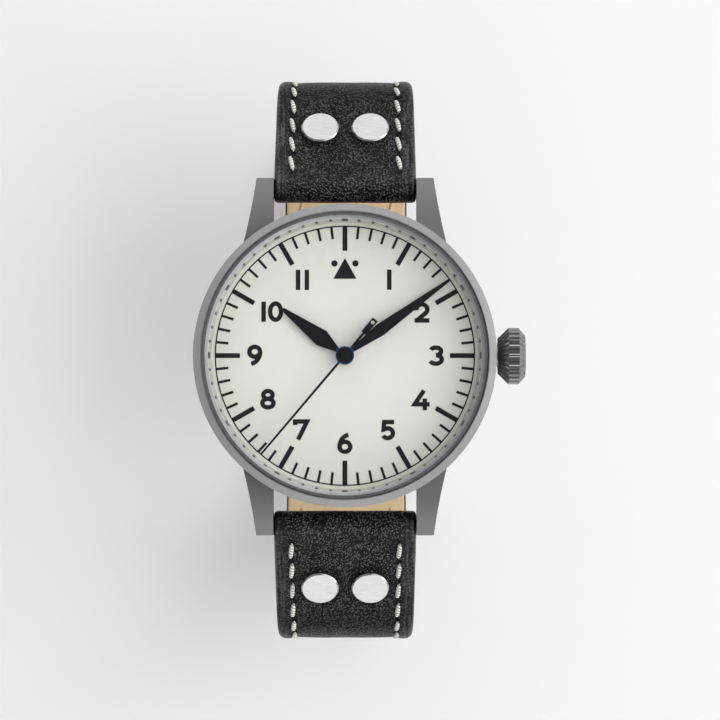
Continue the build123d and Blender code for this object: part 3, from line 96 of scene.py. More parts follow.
def object_place(tree, scale=(1, 1, 1), turn=(0, 0, 0)):
    """The piece's own coordinates in metres, stretched or turned for the pattern."""
    place = node(tree, "TexCoord").outputs["Object"]
    return node(tree, "Mapping", {"Vector": place, "Scale": scale, "Rotation": turn}).outputs["Vector"]


def noise(tree, place, size, detail=2.0):
    """Soft noise whose lumps are about the given size, in metres."""
    made = node(tree, "TexNoise", {"Vector": place, "Scale": 1 / size, "Detail": detail})
    return made.outputs["Fac"]


def maths(tree, operation, *values):
    """Result of one calculation on values or sockets."""
    return node(tree, "Math", dict(enumerate(values)), operation=operation).outputs[0]


def between(tree, value, start, end, low=0.0, high=1.0, **settings):
    """A value's way from start to end turned into the way from low to high, and held beyond both."""
    made = node(tree, "MapRange", {"Value": value, "From Min": start, "From Max": end,
                                   "To Min": low, "To Max": high}, **settings)
    return made.outputs["Result"]


def spread(tree, factor, low, high):
    """A noise, which stays between about 0.3 and 0.7, spread between two values."""
    return between(tree, factor, 0.3, 0.7, low, high)


def mix(tree, share, first, second):
    """Two factors mixed, with a share of the second."""
    return node(tree, "Mix", {"Factor": share, "A": first, "B": second}).outputs["Result"]


def blend(tree, share, first, second, way="MIX"):
    """Two colours mixed or multiplied, with a share of the second."""
    made = node(tree, "Mix", {"Factor": share, "A": first, "B": second}, data_type="RGBA", blend_type=way)
    return made.outputs["Result"]


def ramp(tree, factor, stops):
    """Colours at places along a factor."""
    made = node(tree, "ValToRGB", {"Fac": factor})
    marks = made.color_ramp.elements
    marks[0].position, marks[1].position = stops[0][0], stops[-1][0]
    marks[0].color, marks[1].color = (*stops[0][1], 1), (*stops[-1][1], 1)
    for place, colour in stops[1:-1]:
        marks.new(place).color = (*colour, 1)
    return made.outputs["Color"]


def join(tree, shader, **sockets):
    """Joins outputs to the shader's inputs by their names."""
    for key, value in sockets.items():
        tree.links.new(value, shader.inputs[key.replace("_", " ")])


def relief(tree, shader, height, depth):
    """Bumps of a depth in metres."""
    bump = node(tree, "Bump", {"Height": height, "Distance": depth, "Strength": 1.0})
    tree.links.new(bump.outputs["Normal"], shader.inputs["Normal"])


def tone(grey, warmth=0.0):
    """A grey, warmer or cooler by a share."""
    return (grey * (1 + warmth), grey, grey * (1 - warmth))


def axis_distance(tree, place):
    """Length of a place's vector; with z left out it is the distance from the dial's axis."""
    return node(tree, "VectorMath", {"Vector": place}, operation="LENGTH").outputs["Value"]


def ring_mask(tree, inner, outer, soft):
    """1 between two distances from the dial's axis and 0 outside them, with soft borders, in millimetres."""
    reach = axis_distance(tree, object_place(tree, (1, 1, 0)))
    rise = between(tree, reach, (inner - soft) * MM, inner * MM)
    fall = between(tree, reach, outer * MM, (outer + soft) * MM, 1.0, 0.0)
    return maths(tree, "MULTIPLY", rise, fall)


def clouded(name, size, detail, dark, light, rough, depth=0.0, stretch=(1, 1, 1), start=0.3, **surface):
    """A finish led by one noise, of a size and a depth in millimetres: its colour and its roughness."""
    material, tree, shader = new_finish(name, **surface)
    cloud = noise(tree, object_place(tree, stretch), size * MM, detail)
    join(tree, shader, Base_Color=ramp(tree, cloud, [(start, dark), (0.7, light)]),
         Roughness=spread(tree, cloud, *rough))
    if depth > 0:
        relief(tree, shader, cloud, depth * MM)
    return material


def grained(name, fine, broad, share, stops, rough, depth, stretch=(1, 1, 1), **surface):
    """A finish of two noises, each given by its size in millimetres and its detail.

    The fine one makes the relief and, with a share of the broad one, the colour; the broad one
    makes the roughness.
    """
    material, tree, shader = new_finish(name, **surface)
    grain = noise(tree, object_place(tree, stretch), fine[0] * MM, fine[1])
    clouds = noise(tree, object_place(tree), broad[0] * MM, broad[1])
    join(tree, shader, Base_Color=ramp(tree, mix(tree, share, grain, clouds), stops),
         Roughness=spread(tree, clouds, *rough))
    relief(tree, shader, grain, depth * MM)
    return material


# Finishes: metals
def blasted_steel(name, grey, rough, painted_shade_ring=None):
    """Steel after fine bead blasting: tiny even pits and a faint cloudiness from handling.

    A dark ring, given by its two radii, is painted shade on the turned step, which lies in shadow.
    """
    material, tree, shader = new_finish(name, Metallic=1.0)
    place = object_place(tree)
    pits = noise(tree, place, 0.09 * MM, 3)
    clouds = noise(tree, place, 6 * MM, 4)
    mixed = mix(tree, 0.25, pits, clouds)
    colour = ramp(tree, mixed, [(0.3, tone(grey * 0.9)), (0.7, tone(grey * 1.08, -0.01))])
    if painted_shade_ring:
        # Painted shade: the colour is darkened by a fifth on the ring.
        shade = ramp(tree, ring_mask(tree, *painted_shade_ring, 0.04), [(0.0, (1.0,) * 3), (1.0, (0.8,) * 3)])
        colour = blend(tree, 1.0, colour, shade, "MULTIPLY")
    join(tree, shader, Base_Color=colour, Roughness=spread(tree, clouds, rough - 0.03, rough + 0.04))
    relief(tree, shader, pits, 0.006 * MM)
    return material


def polished_steel(name, grey, rough=0.1, wiped=0.4):
    """Polished steel with faint wiping marks in its gloss, as strong as the given share."""
    material, tree, shader = new_finish(name, Metallic=1.0)
    marks = noise(tree, object_place(tree, (1, 6, 1), (0, 0, 0.6)), 1.5 * MM, 4)
    patches = noise(tree, object_place(tree), 3 * MM)
    colour = ramp(tree, patches, [(0.3, tone(grey * 0.96)), (0.7, tone(grey * 1.03))])
    gloss = spread(tree, marks, rough * (1 - wiped), rough * (1 + wiped))
    join(tree, shader, Base_Color=colour, Roughness=gloss)
    relief(tree, shader, marks, 0.002 * wiped * MM)
    return material


def brushed_steel(name, grey, rough, stretch):
    """Steel with fine parallel brush lines; the stretch gives their direction."""
    stops = [(0.3, tone(grey * 0.86)), (0.7, tone(grey * 1.1))]
    return grained(name, (0.06, 4), (4, 3), 0.0, stops, (rough - 0.04, rough + 0.06), 0.004, stretch,
                   Metallic=1.0)


def striped_bridge():
    """Plated bridges with broad straight decoration stripes over a fine grain."""
    material, tree, shader = new_finish("plated_bridge", Metallic=1.0)
    askew = (0, 0, 0.5)
    wave = {"Vector": object_place(tree, turn=askew), "Scale": 1 / (10 * MM), "Distortion": 0.0}
    stripes = node(tree, "TexWave", wave, wave_type="BANDS", bands_direction="X").outputs["Fac"]
    grain = noise(tree, object_place(tree, (1, 14, 1), askew), 0.3 * MM, 3)
    mixed = mix(tree, 0.35, stripes, grain)
    colour = ramp(tree, mixed, [(0.1, (0.45, 0.43, 0.4)), (0.9, (0.74, 0.72, 0.68))])
    join(tree, shader, Base_Color=colour, Roughness=spread(tree, grain, 0.2, 0.36))
    relief(tree, shader, stripes, 0.01 * MM)
    return material


# Finishes: paint, print and glass
def dial_paint():
    """Matte cream lacquer: a very fine tooth, a little darker and greener towards the rim, as painted shade
    of the inner ring's shadow.
    """
    material, tree, shader = new_finish("dial_cream", Roughness=0.55)
    place = object_place(tree)
    tooth = noise(tree, place, 0.05 * MM, 3)
    away = axis_distance(tree, place)
    # Painted shade: darker towards the rim.
    reach = between(tree, away, DIAL_SHADE_FROM * MM, DIAL_SHADE_TO * MM)
    colour = ramp(tree, reach, [(0.0, (0.80, 0.80, 0.735)), (0.6, (0.775, 0.775, 0.705)),
                                (1.0, (0.68, 0.68, 0.60))])
    speck = ramp(tree, tooth, [(0.3, (0.965,) * 3), (0.7, (1.0,) * 3)])
    join(tree, shader, Base_Color=blend(tree, 1.0, colour, speck, "MULTIPLY"))
    relief(tree, shader, tooth, 0.003 * MM)
    return material


def ink(name, colour, rough, coat=0.0):
    """Thick print or lacquer with a slightly uneven surface."""
    light = tuple(min(1.0, c * 1.35) for c in colour)
    return clouded(name, 0.2, 3, colour, light, (rough - 0.05, rough + 0.07), 0.003, start=0.35,
                   Coat_Weight=coat, Coat_Roughness=0.15, Specular_IOR_Level=0.2)


def hand_lacquer():
    """Dark blued hands with fine lengthways lines, a soft gloss and a bluer rim round the hub, which is a
    painted glint of the blued steel.
    """
    material, tree, shader = new_finish("hand_black", Metallic=0.85)
    lines = noise(tree, object_place(tree, (1, 0.2, 1), (0, 0, 0.6)), 0.07 * MM, 3)
    steel = ramp(tree, lines, [(0.3, (0.012, 0.012, 0.015)), (0.7, (0.02, 0.02, 0.025))])
    # Painted glint: the blue rim round the hub.
    colour = blend(tree, ring_mask(tree, *HUB_RIM_GLINT, 0.05), steel, (0.008, 0.1, 0.24, 1))
    join(tree, shader, Base_Color=colour, Roughness=spread(tree, lines, 0.3, 0.42))
    relief(tree, shader, lines, 0.002 * MM)
    return material


def minute_ring():
    """Satin inner ring with painted reflections of the dial's minute marks, a fine dash at each minute and
    broader at the hours, and a white upper lip that is a painted highlight of the crystal's bright edge.

    With a the angle about the dial's axis in turns and n dashes, a dash is where
    |frac(n a + 1/2) - 1/2| is under its width.
    """
    material, tree, shader = new_finish("rehaut_satin", Roughness=0.35)
    place = node(tree, "SeparateXYZ", {"Vector": object_place(tree)}).outputs
    angle = maths(tree, "ARCTAN2", place["Y"], place["X"])

    def dashes(count, width):
        """1 at each of a number of painted reflected dashes and 0 between them."""
        turns = maths(tree, "MULTIPLY_ADD", angle, count / (2 * math.pi), count + 0.5)
        off = maths(tree, "SUBTRACT", maths(tree, "FRACT", turns), 0.5)
        return between(tree, maths(tree, "ABSOLUTE", off), width, width * 1.2, 1.0, 0.0)

    # Painted reflections of the dial's minute marks, only on the ring's wall between two heights.
    reflected_marks = maths(tree, "MAXIMUM", dashes(60, 0.09), dashes(12, 0.04))
    low = between(tree, place["Z"], REFLECTED_MARKS_LOW * MM, (REFLECTED_MARKS_LOW + REFLECTED_MARKS_FADE) * MM)
    high = between(tree, place["Z"], (REFLECTED_MARKS_HIGH - REFLECTED_MARKS_FADE) * MM, REFLECTED_MARKS_HIGH * MM, 1.0, 0.0)
    shown = maths(tree, "MULTIPLY", reflected_marks, maths(tree, "MULTIPLY", low, high))
    haze = noise(tree, object_place(tree), 2 * MM, 3)
    satin = ramp(tree, haze, [(0.3, (0.41, 0.41, 0.365)), (0.7, (0.47, 0.47, 0.42))])
    # Painted highlight: the white upper lip.
    lip_highlight = blend(tree, ring_mask(tree, *RING_LIP_HIGHLIGHT, 0.02), satin, (0.97, 0.97, 0.98, 1))
    join(tree, shader, Base_Color=blend(tree, shown, lip_highlight, (0.015, 0.015, 0.015, 1)))
    return material


def crystal_glass():
    """Clear sapphire with a coating against glare; shadow rays pass, so the dial keeps its light."""
    material, tree, shader = new_finish("sapphire", IOR=1.22, Transmission_Weight=1.0)
    film = noise(tree, object_place(tree), 5 * MM, 4)
    join(tree, shader, Base_Color=ramp(tree, film, [(0.3, (0.975, 0.98, 0.98)), (0.7, (0.99, 0.99, 0.99))]),
         Roughness=spread(tree, film, 0.0, 0.006))
    clear = node(tree, "BsdfTransparent", {"Color": (0.97, 0.975, 0.975, 1)})
    shadow = node(tree, "LightPath").outputs["Is Shadow Ray"]
    mixed = node(tree, "MixShader", {0: shadow, 1: shader.outputs["BSDF"], 2: clear.outputs["BSDF"]})
    tree.links.new(mixed.outputs["Shader"], tree.nodes["Material Output"].inputs["Surface"])
    return material


def dress(finish, *names):
    """Gives CAD nodes a finish in place of the plain one."""
    for name in names:
        slots = nodes[name].data.materials
        if len(slots) == 0:
            slots.append(finish)
        for k in range(len(slots)):
            slots[k] = finish


polished = polished_steel("steel_polished", 0.78)
brushed = brushed_steel("steel_brushed", 0.52, 0.3, (0.05, 1, 1))
winding_steel = brushed_steel("movement_steel", 0.6, 0.2, (1, 0.1, 1))
rubber = clouded("seal_rubber", 0.4, 4, (0.012,) * 3, (0.03,) * 3, (0.55, 0.75), 0.01)
nylon = clouded("seal_nylon", 0.5, 3, (0.1, 0.102, 0.108), (0.14, 0.142, 0.15), (0.3, 0.45), 0.005,
                Subsurface_Weight=0.3, Subsurface_Radius=(0.3 * MM,) * 3)
plastic = clouded("holder_plastic", 0.25, 3, (0.68, 0.68, 0.66), (0.78, 0.78, 0.76), (0.38, 0.52), 0.01)
ruby = clouded("jewel_red", 0.5, 3, (0.5, 0.02, 0.08), (0.72, 0.06, 0.16), (0.03, 0.1),
               IOR=1.76, Transmission_Weight=0.4)
print_ink = ink("print_black", (0.007, 0.007, 0.008), 0.6)
gilt_brass = grained("wheel_brass", (0.12, 4), (2.5, 3), 0.5,
                     [(0.3, (0.6, 0.43, 0.2)), (0.7, (0.8, 0.62, 0.33))], (0.22, 0.36), 0.003, Metallic=1.0)

dress(blasted_steel("steel_blasted", 0.24, 0.58), "case_body", "case_back")
# The bezel's inner step is darkened as painted shade.
dress(blasted_steel("steel_blasted_bezel", 0.38, 0.34, BEZEL_SHADED_STEP), "bezel")
dress(polished, "buckle_frame", "buckle_bar", "buckle_tang")
dress(polished_steel("rivet_satin", 0.41, 0.27, 0.14), "rivets_upper", "rivets_lower")
# The crown's steel is a darker copy of the brushed steel: painted shade.
dress(brushed_steel("crown_steel_shaded", 0.24, 0.2, (0.05, 1, 1)), "crown")
dress(brushed, "crown_tube", "spring_bar_upper", "spring_bar_lower", "spring_pin_upper_right",
      "spring_pin_upper_left", "spring_pin_lower_right", "spring_pin_lower_left")
dress(crystal_glass(), "crystal")
dress(rubber, "case_back_gasket", "crown_gasket")
dress(nylon, "crystal_gasket")
dress(minute_ring(), "rehaut_ring")
dress(dial_paint(), "dial")
dress(print_ink, "dial_track")
dress(hand_lacquer(), "hour_hand", "minute_hand", "second_hand")
dress(striped_bridge(), "main_plate", "train_bridge", "barrel_bridge", "balance_cock", "rotor",
      "rotor_bearing")
dress(gilt_brass, "mainspring_barrel", "intermediate_wheel", "third_wheel", "seconds_wheel",
      "minute_wheel", "hour_wheel", "balance_wheel")
dress(winding_steel, "winding_stem", "winding_pinion", "sliding_pinion", "barrel_arbor", "ratchet_wheel",
      "crown_wheel", "click", "escape_wheel", "pallet_fork", "cannon_pinion", "bridge_screws",
      "casing_clamps")
dress(ink("hairspring_blue", (0.03, 0.06, 0.2), 0.3, coat=0.5), "hairspring")
dress(ruby, "jewels")
dress(plastic, "movement_ring")


# Finishes: leather and thread
def pebble_leather(name, dark, light, rough):
    """Black calf leather: small pebbles, glossy on top, drawn out at the edges and duller at the bends; the
    grain's colour and gloss are lowest in the pits as painted shade, and the lower gloss at the bends is
    painted shade.
    """
    material, tree, shader = new_finish(name)
    place = object_place(tree)
    drift = node(tree, "TexNoise", {"Vector": place, "Scale": 1 / (0.9 * MM), "Detail": 2.0}).outputs["Color"]
    bent = node(tree, "VectorMath", {0: drift, 1: (0.35 * MM,) * 3}, operation="MULTIPLY").outputs["Vector"]
    bent = node(tree, "VectorMath", {0: place, 1: bent}, operation="ADD").outputs["Vector"]
    cells = node(tree, "TexVoronoi", {"Vector": bent, "Scale": 1 / (0.31 * MM)}, feature="F1")
    pebbles = between(tree, cells.outputs["Distance"], 0.15, 0.75, 1.0, 0.0, interpolation_type="SMOOTHSTEP")
    pores = noise(tree, place, 0.07 * MM, 3)
    patches = noise(tree, place, 3.5 * MM, 3)
    creases = noise(tree, object_place(tree, (1, 0.6, 0.6)), 1.1 * MM, 2)
    streaks = noise(tree, object_place(tree, (1, 0.06, 0.06)), 0.3 * MM, 3)
    parts = node(tree, "SeparateXYZ", {"Vector": place}).outputs
    across, along = maths(tree, "ABSOLUTE", parts["X"]), maths(tree, "ABSOLUTE", parts["Y"])
    border = between(tree, across, BORDER_FROM * MM, BORDER_TO * MM, high=0.75)
    # Painted shade: gloss falls towards the far bends.
    bend_shade = between(tree, along, BEND_SHADE_FROM * MM, BEND_SHADE_TO * MM, 1.0, 0.25)
    height = maths(tree, "MULTIPLY_ADD", pores, 0.35, pebbles)
    height = maths(tree, "MULTIPLY_ADD", creases, 1.2, height)
    height = mix(tree, border, height, streaks)
    # Colour and gloss follow the grain and are lowest in the pits between pebbles: painted shade.
    mixed = mix(tree, border, mix(tree, 0.3, pebbles, pores), streaks)
    gloss = between(tree, mixed, 0.42, 0.74, 0.13, 1.0)
    gloss = maths(tree, "MULTIPLY", gloss, spread(tree, patches, 0.9, 1.8))
    gloss = maths(tree, "MULTIPLY", gloss, bend_shade)
    join(tree, shader, Base_Color=ramp(tree, mixed, [(0.15, dark), (0.85, light)]), Specular_IOR_Level=gloss,
         Roughness=spread(tree, patches, rough - 0.05, rough + 0.06))
    relief(tree, shader, height, 0.17 * MM)
    return material


def waxed_thread(name, groove, strand, top):
    """Waxed thread: its twisted strands run askew round each stitch, darker in the grooves between them as
    painted shade and lightest on their crests as painted highlight.

    One strand takes one unit of the stitch's own flat coordinates; the wave texture has its bands
    pi / 10 apart at a scale of 1.
    """
    material, tree, shader = new_finish(name, Specular_IOR_Level=0.35, Sheen_Weight=0.1)
    flat = node(tree, "UVMap", uv_map="stitch").outputs["UV"]
    wave = {"Vector": flat, "Scale": math.pi / 10, "Distortion": 0.3, "Detail": 1.0}
    strands = node(tree, "TexWave", wave, wave_type="BANDS", bands_direction="X").outputs["Fac"]
    fluff = noise(tree, object_place(tree), 0.05 * MM, 3)
    mixed = mix(tree, 0.15, strands, fluff)
    # Painted shade in the grooves and painted highlight on the crests of the strands.
    join(tree, shader, Base_Color=ramp(tree, mixed, [(0.08, groove), (0.35, strand), (0.9, top)]),
         Roughness=spread(tree, fluff, 0.55, 0.75))
    relief(tree, shader, strands, 0.06 * MM)
    return material


leather = pebble_leather("leather_black", (0.003, 0.0026, 0.0023), (0.0135, 0.012, 0.0104), 0.28)
tan = grained("leather_tan", (0.12, 4), (4, 3), 0.5, [(0.25, (0.7, 0.5, 0.27)), (0.75, (0.86, 0.68, 0.43))],
              (0.6, 0.75), 0.012, (1, 0.25, 0.25), Specular_IOR_Level=0.3, Sheen_Weight=0.15)
edge_black = clouded("edge_black", 0.3, 3, (0.006, 0.006, 0.006), (0.014, 0.013, 0.012), (0.32, 0.5), 0.02,
                     (1, 0.3, 0.3), Specular_IOR_Level=0.5)
thread = waxed_thread("thread_cream", (0.3, 0.28, 0.21), (0.88, 0.87, 0.77), (0.96, 0.955, 0.87))
inner_thread = waxed_thread("thread_tan", (0.42, 0.3, 0.16), (0.6, 0.44, 0.25), (0.72, 0.55, 0.34))


# Strap: its run in the plane of y and z, in millimetres
# From the spring bar each half runs straight, over a first bend, inwards round a far bend, then level.
BAR = np.array([23.2, 2.6])
ROLL, BORE = 1.9, 0.82
THICK, FAR_THICK, LINING = 3.8, 2.6, 0.9
DROP = math.radians(36)
NORMAL = np.array([math.sin(DROP), math.cos(DROP)])
HEADING = np.array([math.cos(DROP), -math.sin(DROP)])
BEND, BEND_Y = 11.0, 29.6
BEND_Z = BAR[1] + (ROLL - BEND - (BEND_Y - BAR[0]) * NORMAL[0]) / NORMAL[1]
REACH = BEND_Y + BEND
STRAIGHT = float((np.array([BEND_Y, BEND_Z]) + BEND * NORMAL - BAR - ROLL * NORMAL) @ HEADING)
ARC = BEND * (math.pi / 2 - DROP)
WIDE, FAR_WIDE = 9.95, 9.05
EARLY_NARROWING, NARROWS_BELOW = 0.35, 2
NO_LIMIT = 99.0
SLACK_DEPTH, SLACK_REACH = 0.22, 6

# Strap: stitches, rivets, and the turn round the buckle bar, in millimetres
ROW_INSET = 2.35
STITCH_START, STITCH_PITCH = 3.9, 3.56
STITCH_MARGIN = 6
STITCH_RADIUS, STITCH_TIP, STITCH_POWER, STITCH_FLATTENING = 0.33, 0.02, 3.2, 0.85
STITCH_BOW, LEATHER_SUNK, LINING_SUNK = 0.16, 0.22, 0.1
LINING_THREAD, LINING_BOW, STEP_AHEAD = 0.72, 0.6, 0.05
LEATHER_STITCH, LINING_STITCH = (2.75, 0), (2.3, STITCH_PITCH / 2)
AROUND, ALONG = 8, 9
STRANDS, STRAND_TURNS = 6, 2
RIVET_TRAVEL = (32.4 - BAR[0] - ROLL * NORMAL[0]) / HEADING[0]
RIVET_X = 3.55
BAR_HOLE = 0.79
TURN_DEPTH = (FAR_THICK / 2 - BAR_HOLE) * THICK / FAR_THICK
TURN_RUN, TURN_PROUD, TURN_EASE = 2.2, 0.2, 0.5
TURN_FROM, TURN_TO, TURN_STEPS = -97, -270, 26
TAIL_LENGTH, TAIL_THINNING, TAIL_RISE = 1.7, 0.14, 0.5
TAIL_FROM, TAIL_STEPS, TAIL_STEEPNESS = 0.12, 8, 1.5

# Strap: depths and widths of the leather's padding, in millimetres
EDGE_DEPTH, EDGE_DEPTH_MORE = 0.55, 0.4
EDGE_REACH, EDGE_REACH_MORE = 0.6, 0.5
EDGE_SETTLED = 6
UNEVEN, WAVE, WAVE_SLANT, CROSS_WAVE, CROSS_SLANT = 0.03, 1.9, 0.35, 2.3, 0.21
ROW_FROM, ROW_RISE, ROW_FALL = 1.2, 1.8, 4.0
GROOVE_DEPTH, GROOVE_REACH = 0.3, 0.3
MIDDLE_DEPTH, MIDDLE_RISE, MIDDLE_SLOPE = 0.2, 0.07, 0.18
DIP_DEPTH, DIP_ALONG, DIP_ACROSS = 0.28, 0.33, 0.36
SEAT, SEAT_SHARE = 2.75, 0.1
SEAT_RING, SEAT_RING_DEPTH, SEAT_RING_REACH = 3.0, 0.2, 0.35
END_ROUND, START_RUN, ROLL_THINNING = 0.9, 0.8, 0.36
LINING_EDGE, LINING_LIFT, LINING_GROOVE, LINING_INSET = 0.45, 0.3, 0.1, 0.02
SHORT_LINING_GAP, LONG_LINING_GAP = 0.9, 0.05

# Strap: how its meshes are divided. Sections: start, end of the fine ones, fine step, coarse step,
# and the number over the last stretch.
LEATHER_SECTIONS, LINING_SECTIONS = (0.0, 36, 0.24, 0.5, 60), (1.0, 34, 0.5, 0.9, 30)
LEATHER_COLUMNS, LINING_COLUMNS, COLUMN_CROWDING = 57, 31, 1.35
ROLL_FROM, ROLL_TO, ROLL_STEPS = math.pi * 0.99, 0.06, 26
END_RUN, LEAST_HALF = 8, 0.05


class StrapHalf:
    """One half of the strap, with no point at its end."""

    def __init__(self, name, side, far_bend, end_y, slant, row_end):
        """Side of the case, far bend, flat end, and the slant and the last gap of the stitches."""
        self.name, self.side, self.far_bend, self.end_y = name, side, far_bend, end_y
        self.slant, self.row_end = slant, row_end
        self.curve = far_bend * math.pi / 2
        self.flat = (REACH - far_bend) - end_y
        self.length = STRAIGHT + ARC + self.curve + self.flat
        self.low = BEND_Z - far_bend

    def at(self, travel, depth):
        """Place (y, z) for a travel along the outer face and a depth under it.

        Straight, then an arc of one radius less the depth, then a quarter ellipse that thins the
        strap from its full to its far thickness, then level.
        """
        travel, depth = np.broadcast_arrays(np.asarray(travel, float), np.asarray(depth, float))
        thin = depth * FAR_THICK / THICK
        y = BAR[0] + (ROLL - depth) * NORMAL[0] + travel * HEADING[0]
        z = BAR[1] + (ROLL - depth) * NORMAL[1] + travel * HEADING[1]
        turn = math.pi / 2 - DROP - (travel - STRAIGHT) / BEND
        on = travel > STRAIGHT
        y = np.where(on, BEND_Y + (BEND - depth) * np.cos(turn), y)
        z = np.where(on, BEND_Z + (BEND - depth) * np.sin(turn), z)
        centre = REACH - self.far_bend
        turn = -(travel - STRAIGHT - ARC) / self.far_bend
        on = travel > STRAIGHT + ARC
        y = np.where(on, centre + (self.far_bend - depth) * np.cos(turn), y)
        z = np.where(on, BEND_Z + (self.far_bend - thin) * np.sin(turn), z)
        past = travel - STRAIGHT - ARC - self.curve
        on = past > 0
        y = np.where(on, centre - past, y)
        z = np.where(on, self.low + thin, z)
        return y, z

    def rolled(self, angle, radius):
        """Place (y, z) round the spring bar: an angle back from the outer face's normal, and a radius."""
        turn = math.pi / 2 - DROP + angle
        return BAR[0] + radius * np.cos(turn), BAR[1] + radius * np.sin(turn)

    def half_width(self, z):
        """Half the strap's width at a height: narrowing a little to the bend, then evenly to the flat run."""
        early = np.clip((NARROWS_BELOW - z) / (NARROWS_BELOW - BEND_Z), 0, 1)
        share = np.clip((BEND_Z - z) / (BEND_Z - self.low), 0, 1)
        return WIDE - EARLY_NARROWING * early + (FAR_WIDE - WIDE + EARLY_NARROWING) * share

    def tip_limit(self, y):
        """Half the width that the end leaves at a place along the flat run: no limit here."""
        return NO_LIMIT

    def width_at(self, travel):
        """Half the width of the section at a travel, with the end's outline taken into account."""
        y, z = self.at(travel, 0.0)
        return float(min(self.half_width(z), self.tip_limit(y)))


class LongHalf(StrapHalf):
    """The half with the adjusting holes, which ends in a blunt point."""

    TIP, TIP_POWER, TIP_LEAST = 9.0, 2.35, 0.02

    def tip_limit(self, y):
        """Half the width inside the blunt point.

        With t the share of the way from the shoulder to the tip, it is sqrt(1 - t^2.35) of the
        strap's half width.
        """
        share = np.clip((self.end_y + self.TIP - y) / self.TIP, 0, 1)
        inside = FAR_WIDE * np.sqrt(1 - share ** self.TIP_POWER) + self.TIP_LEAST
        return inside if share > 0 else NO_LIMIT


long_half = LongHalf("strap_lower", -1, 33.4, -34.0, -0.12, 10.5)
short_half = StrapHalf("strap_upper", 1, 16.9, -1.0, -0.26, 7.5)


def bell(distance, reach):
    """Bell curve exp(-(distance / reach)^2)."""
    return np.exp(-(distance / reach) ** 2)


def rounded_off(share):
    """Fall of a quarter ellipse, from 0 to 1 as the share goes from 0 to 1."""
    return 1 - np.sqrt(np.clip(1 - share ** 2, 0, 1))


def slack(travel):
    """How far the soft strap sinks in at its outermost point."""
    return SLACK_DEPTH * bell(travel - STRAIGHT - ARC, SLACK_REACH)


def stitch_travels(half):
    """Middles of the stitches along a half, from the lug end to the flat end."""
    return np.arange(STITCH_START, half.length - half.row_end, STITCH_PITCH)


def padding(half, travel, x, width):
    """How far the leather's face lies under the strap's full thickness.

    Edges are rounded over by a quarter of an ellipse. Inside them a puffed bead runs outside each
    row of stitches, the rows lie in a groove, and the middle is pressed slightly flatter, with
    shallow dips at the ends of the stitches and round the rivets. Two crossed waves keep it uneven.
    """
    edge = np.clip(width - np.abs(x), 0, None)
    settled = np.clip(travel / EDGE_SETTLED, 0, 1)
    share = np.clip(1 - edge / (EDGE_REACH + EDGE_REACH_MORE * settled), 0, 1)
    depth = (EDGE_DEPTH + EDGE_DEPTH_MORE * settled) * rounded_off(share)
    waves = 1 + np.sin(travel / WAVE + x * WAVE_SLANT) * np.cos(x / CROSS_WAVE - travel * CROSS_SLANT)
    depth = depth + slack(travel) + UNEVEN * waves
    start = np.clip((travel - ROW_FROM) / ROW_RISE, 0, 1)
    end = np.clip((half.length - travel) / ROW_FALL, 0, 1)
    held = start * start * (3 - 2 * start) * end
    inside = 1 / (1 + np.exp(-(edge - ROW_INSET) / MIDDLE_SLOPE))
    middle = np.clip(1 - (x / np.maximum(width - ROW_INSET, 1)) ** 2, 0, 1)
    pressed = inside * (MIDDLE_DEPTH - MIDDLE_RISE * middle)
    depth = depth + held * (GROOVE_DEPTH * bell(edge - ROW_INSET, GROOVE_REACH) + pressed)
    middles = stitch_travels(half)
    near = np.abs((travel - middles[0] + STITCH_PITCH / 2) % STITCH_PITCH)
    near = np.minimum(near, STITCH_PITCH - near)
    sewn = (travel > middles[0] - STITCH_PITCH) & (travel < middles[-1] + STITCH_PITCH)
    dips = DIP_DEPTH * bell(near, DIP_ALONG) * bell(edge - ROW_INSET, DIP_ACROSS)
    depth = depth + np.where(sewn, dips, 0)
    for centre in (-RIVET_X, RIVET_X):
        reach = np.hypot(travel - RIVET_TRAVEL, x - centre)
        depth = np.where(reach < SEAT, depth * SEAT_SHARE, depth)
        depth = depth + SEAT_RING_DEPTH * bell(reach - SEAT_RING, SEAT_RING_REACH)
    return depth


# Strap: meshes
def mesh_object(name, points, faces, materials=(), smooth=False):
    """A new mesh in the scene, from points in millimetres and faces."""
    mesh = bpy.data.meshes.new(name)
    mesh.from_pydata((np.asarray(points).reshape(-1, 3) * MM).tolist(), [], faces)
    for material in materials:
        mesh.materials.append(material)
    mesh.polygons.foreach_set("use_smooth", [smooth] * len(mesh.polygons))
    made = bpy.data.objects.new(name, mesh)
    bpy.context.scene.collection.objects.link(made)
    return made


def tube_faces(count, around):
    """Four-cornered faces between neighbouring rings, with as many points in each ring."""
    k = np.arange(count - 1)[:, None] * around
    i = np.arange(around)[None, :]
    j = (i + 1) % around
    return np.stack([k + i, k + j, k + around + j, k + around + i], -1).reshape(-1, 4)


def closed_tube(name, rings, facing=1, materials=(), smooth=False):
    """Closed skin through equal rings of points in millimetres, capped at both ends.

    Facing is -1 for rings that run the other way round, so that the faces still look outwards.
    """
    rings = np.asarray(rings, float)
    count, around = rings.shape[:2]
    first = list(range(around))
    last = list(range((count - 1) * around, count * around))
    faces = tube_faces(count, around)[:, ::facing].tolist() + [first[::-facing], last[::facing]]
    return mesh_object(name, rings, faces, materials, smooth)


def strap_layer(name, half, sections, facing, materials, painted):
    """Skin of one layer of the strap from its sections, on the half's side of the case.

    Painted gives the material of each point of a section; both ends have the last material.
    """
    loops = np.array(sections).transpose(0, 2, 1)
    loops[..., 1] *= half.side
    made = closed_tube(name, loops, facing, materials, smooth=True)
    chosen = np.tile(painted, len(loops) - 1).tolist() + [len(materials) - 1] * 2
    made.data.polygons.foreach_set("material_index", chosen)
    made.data.validate()
    made.data.update()
    return made


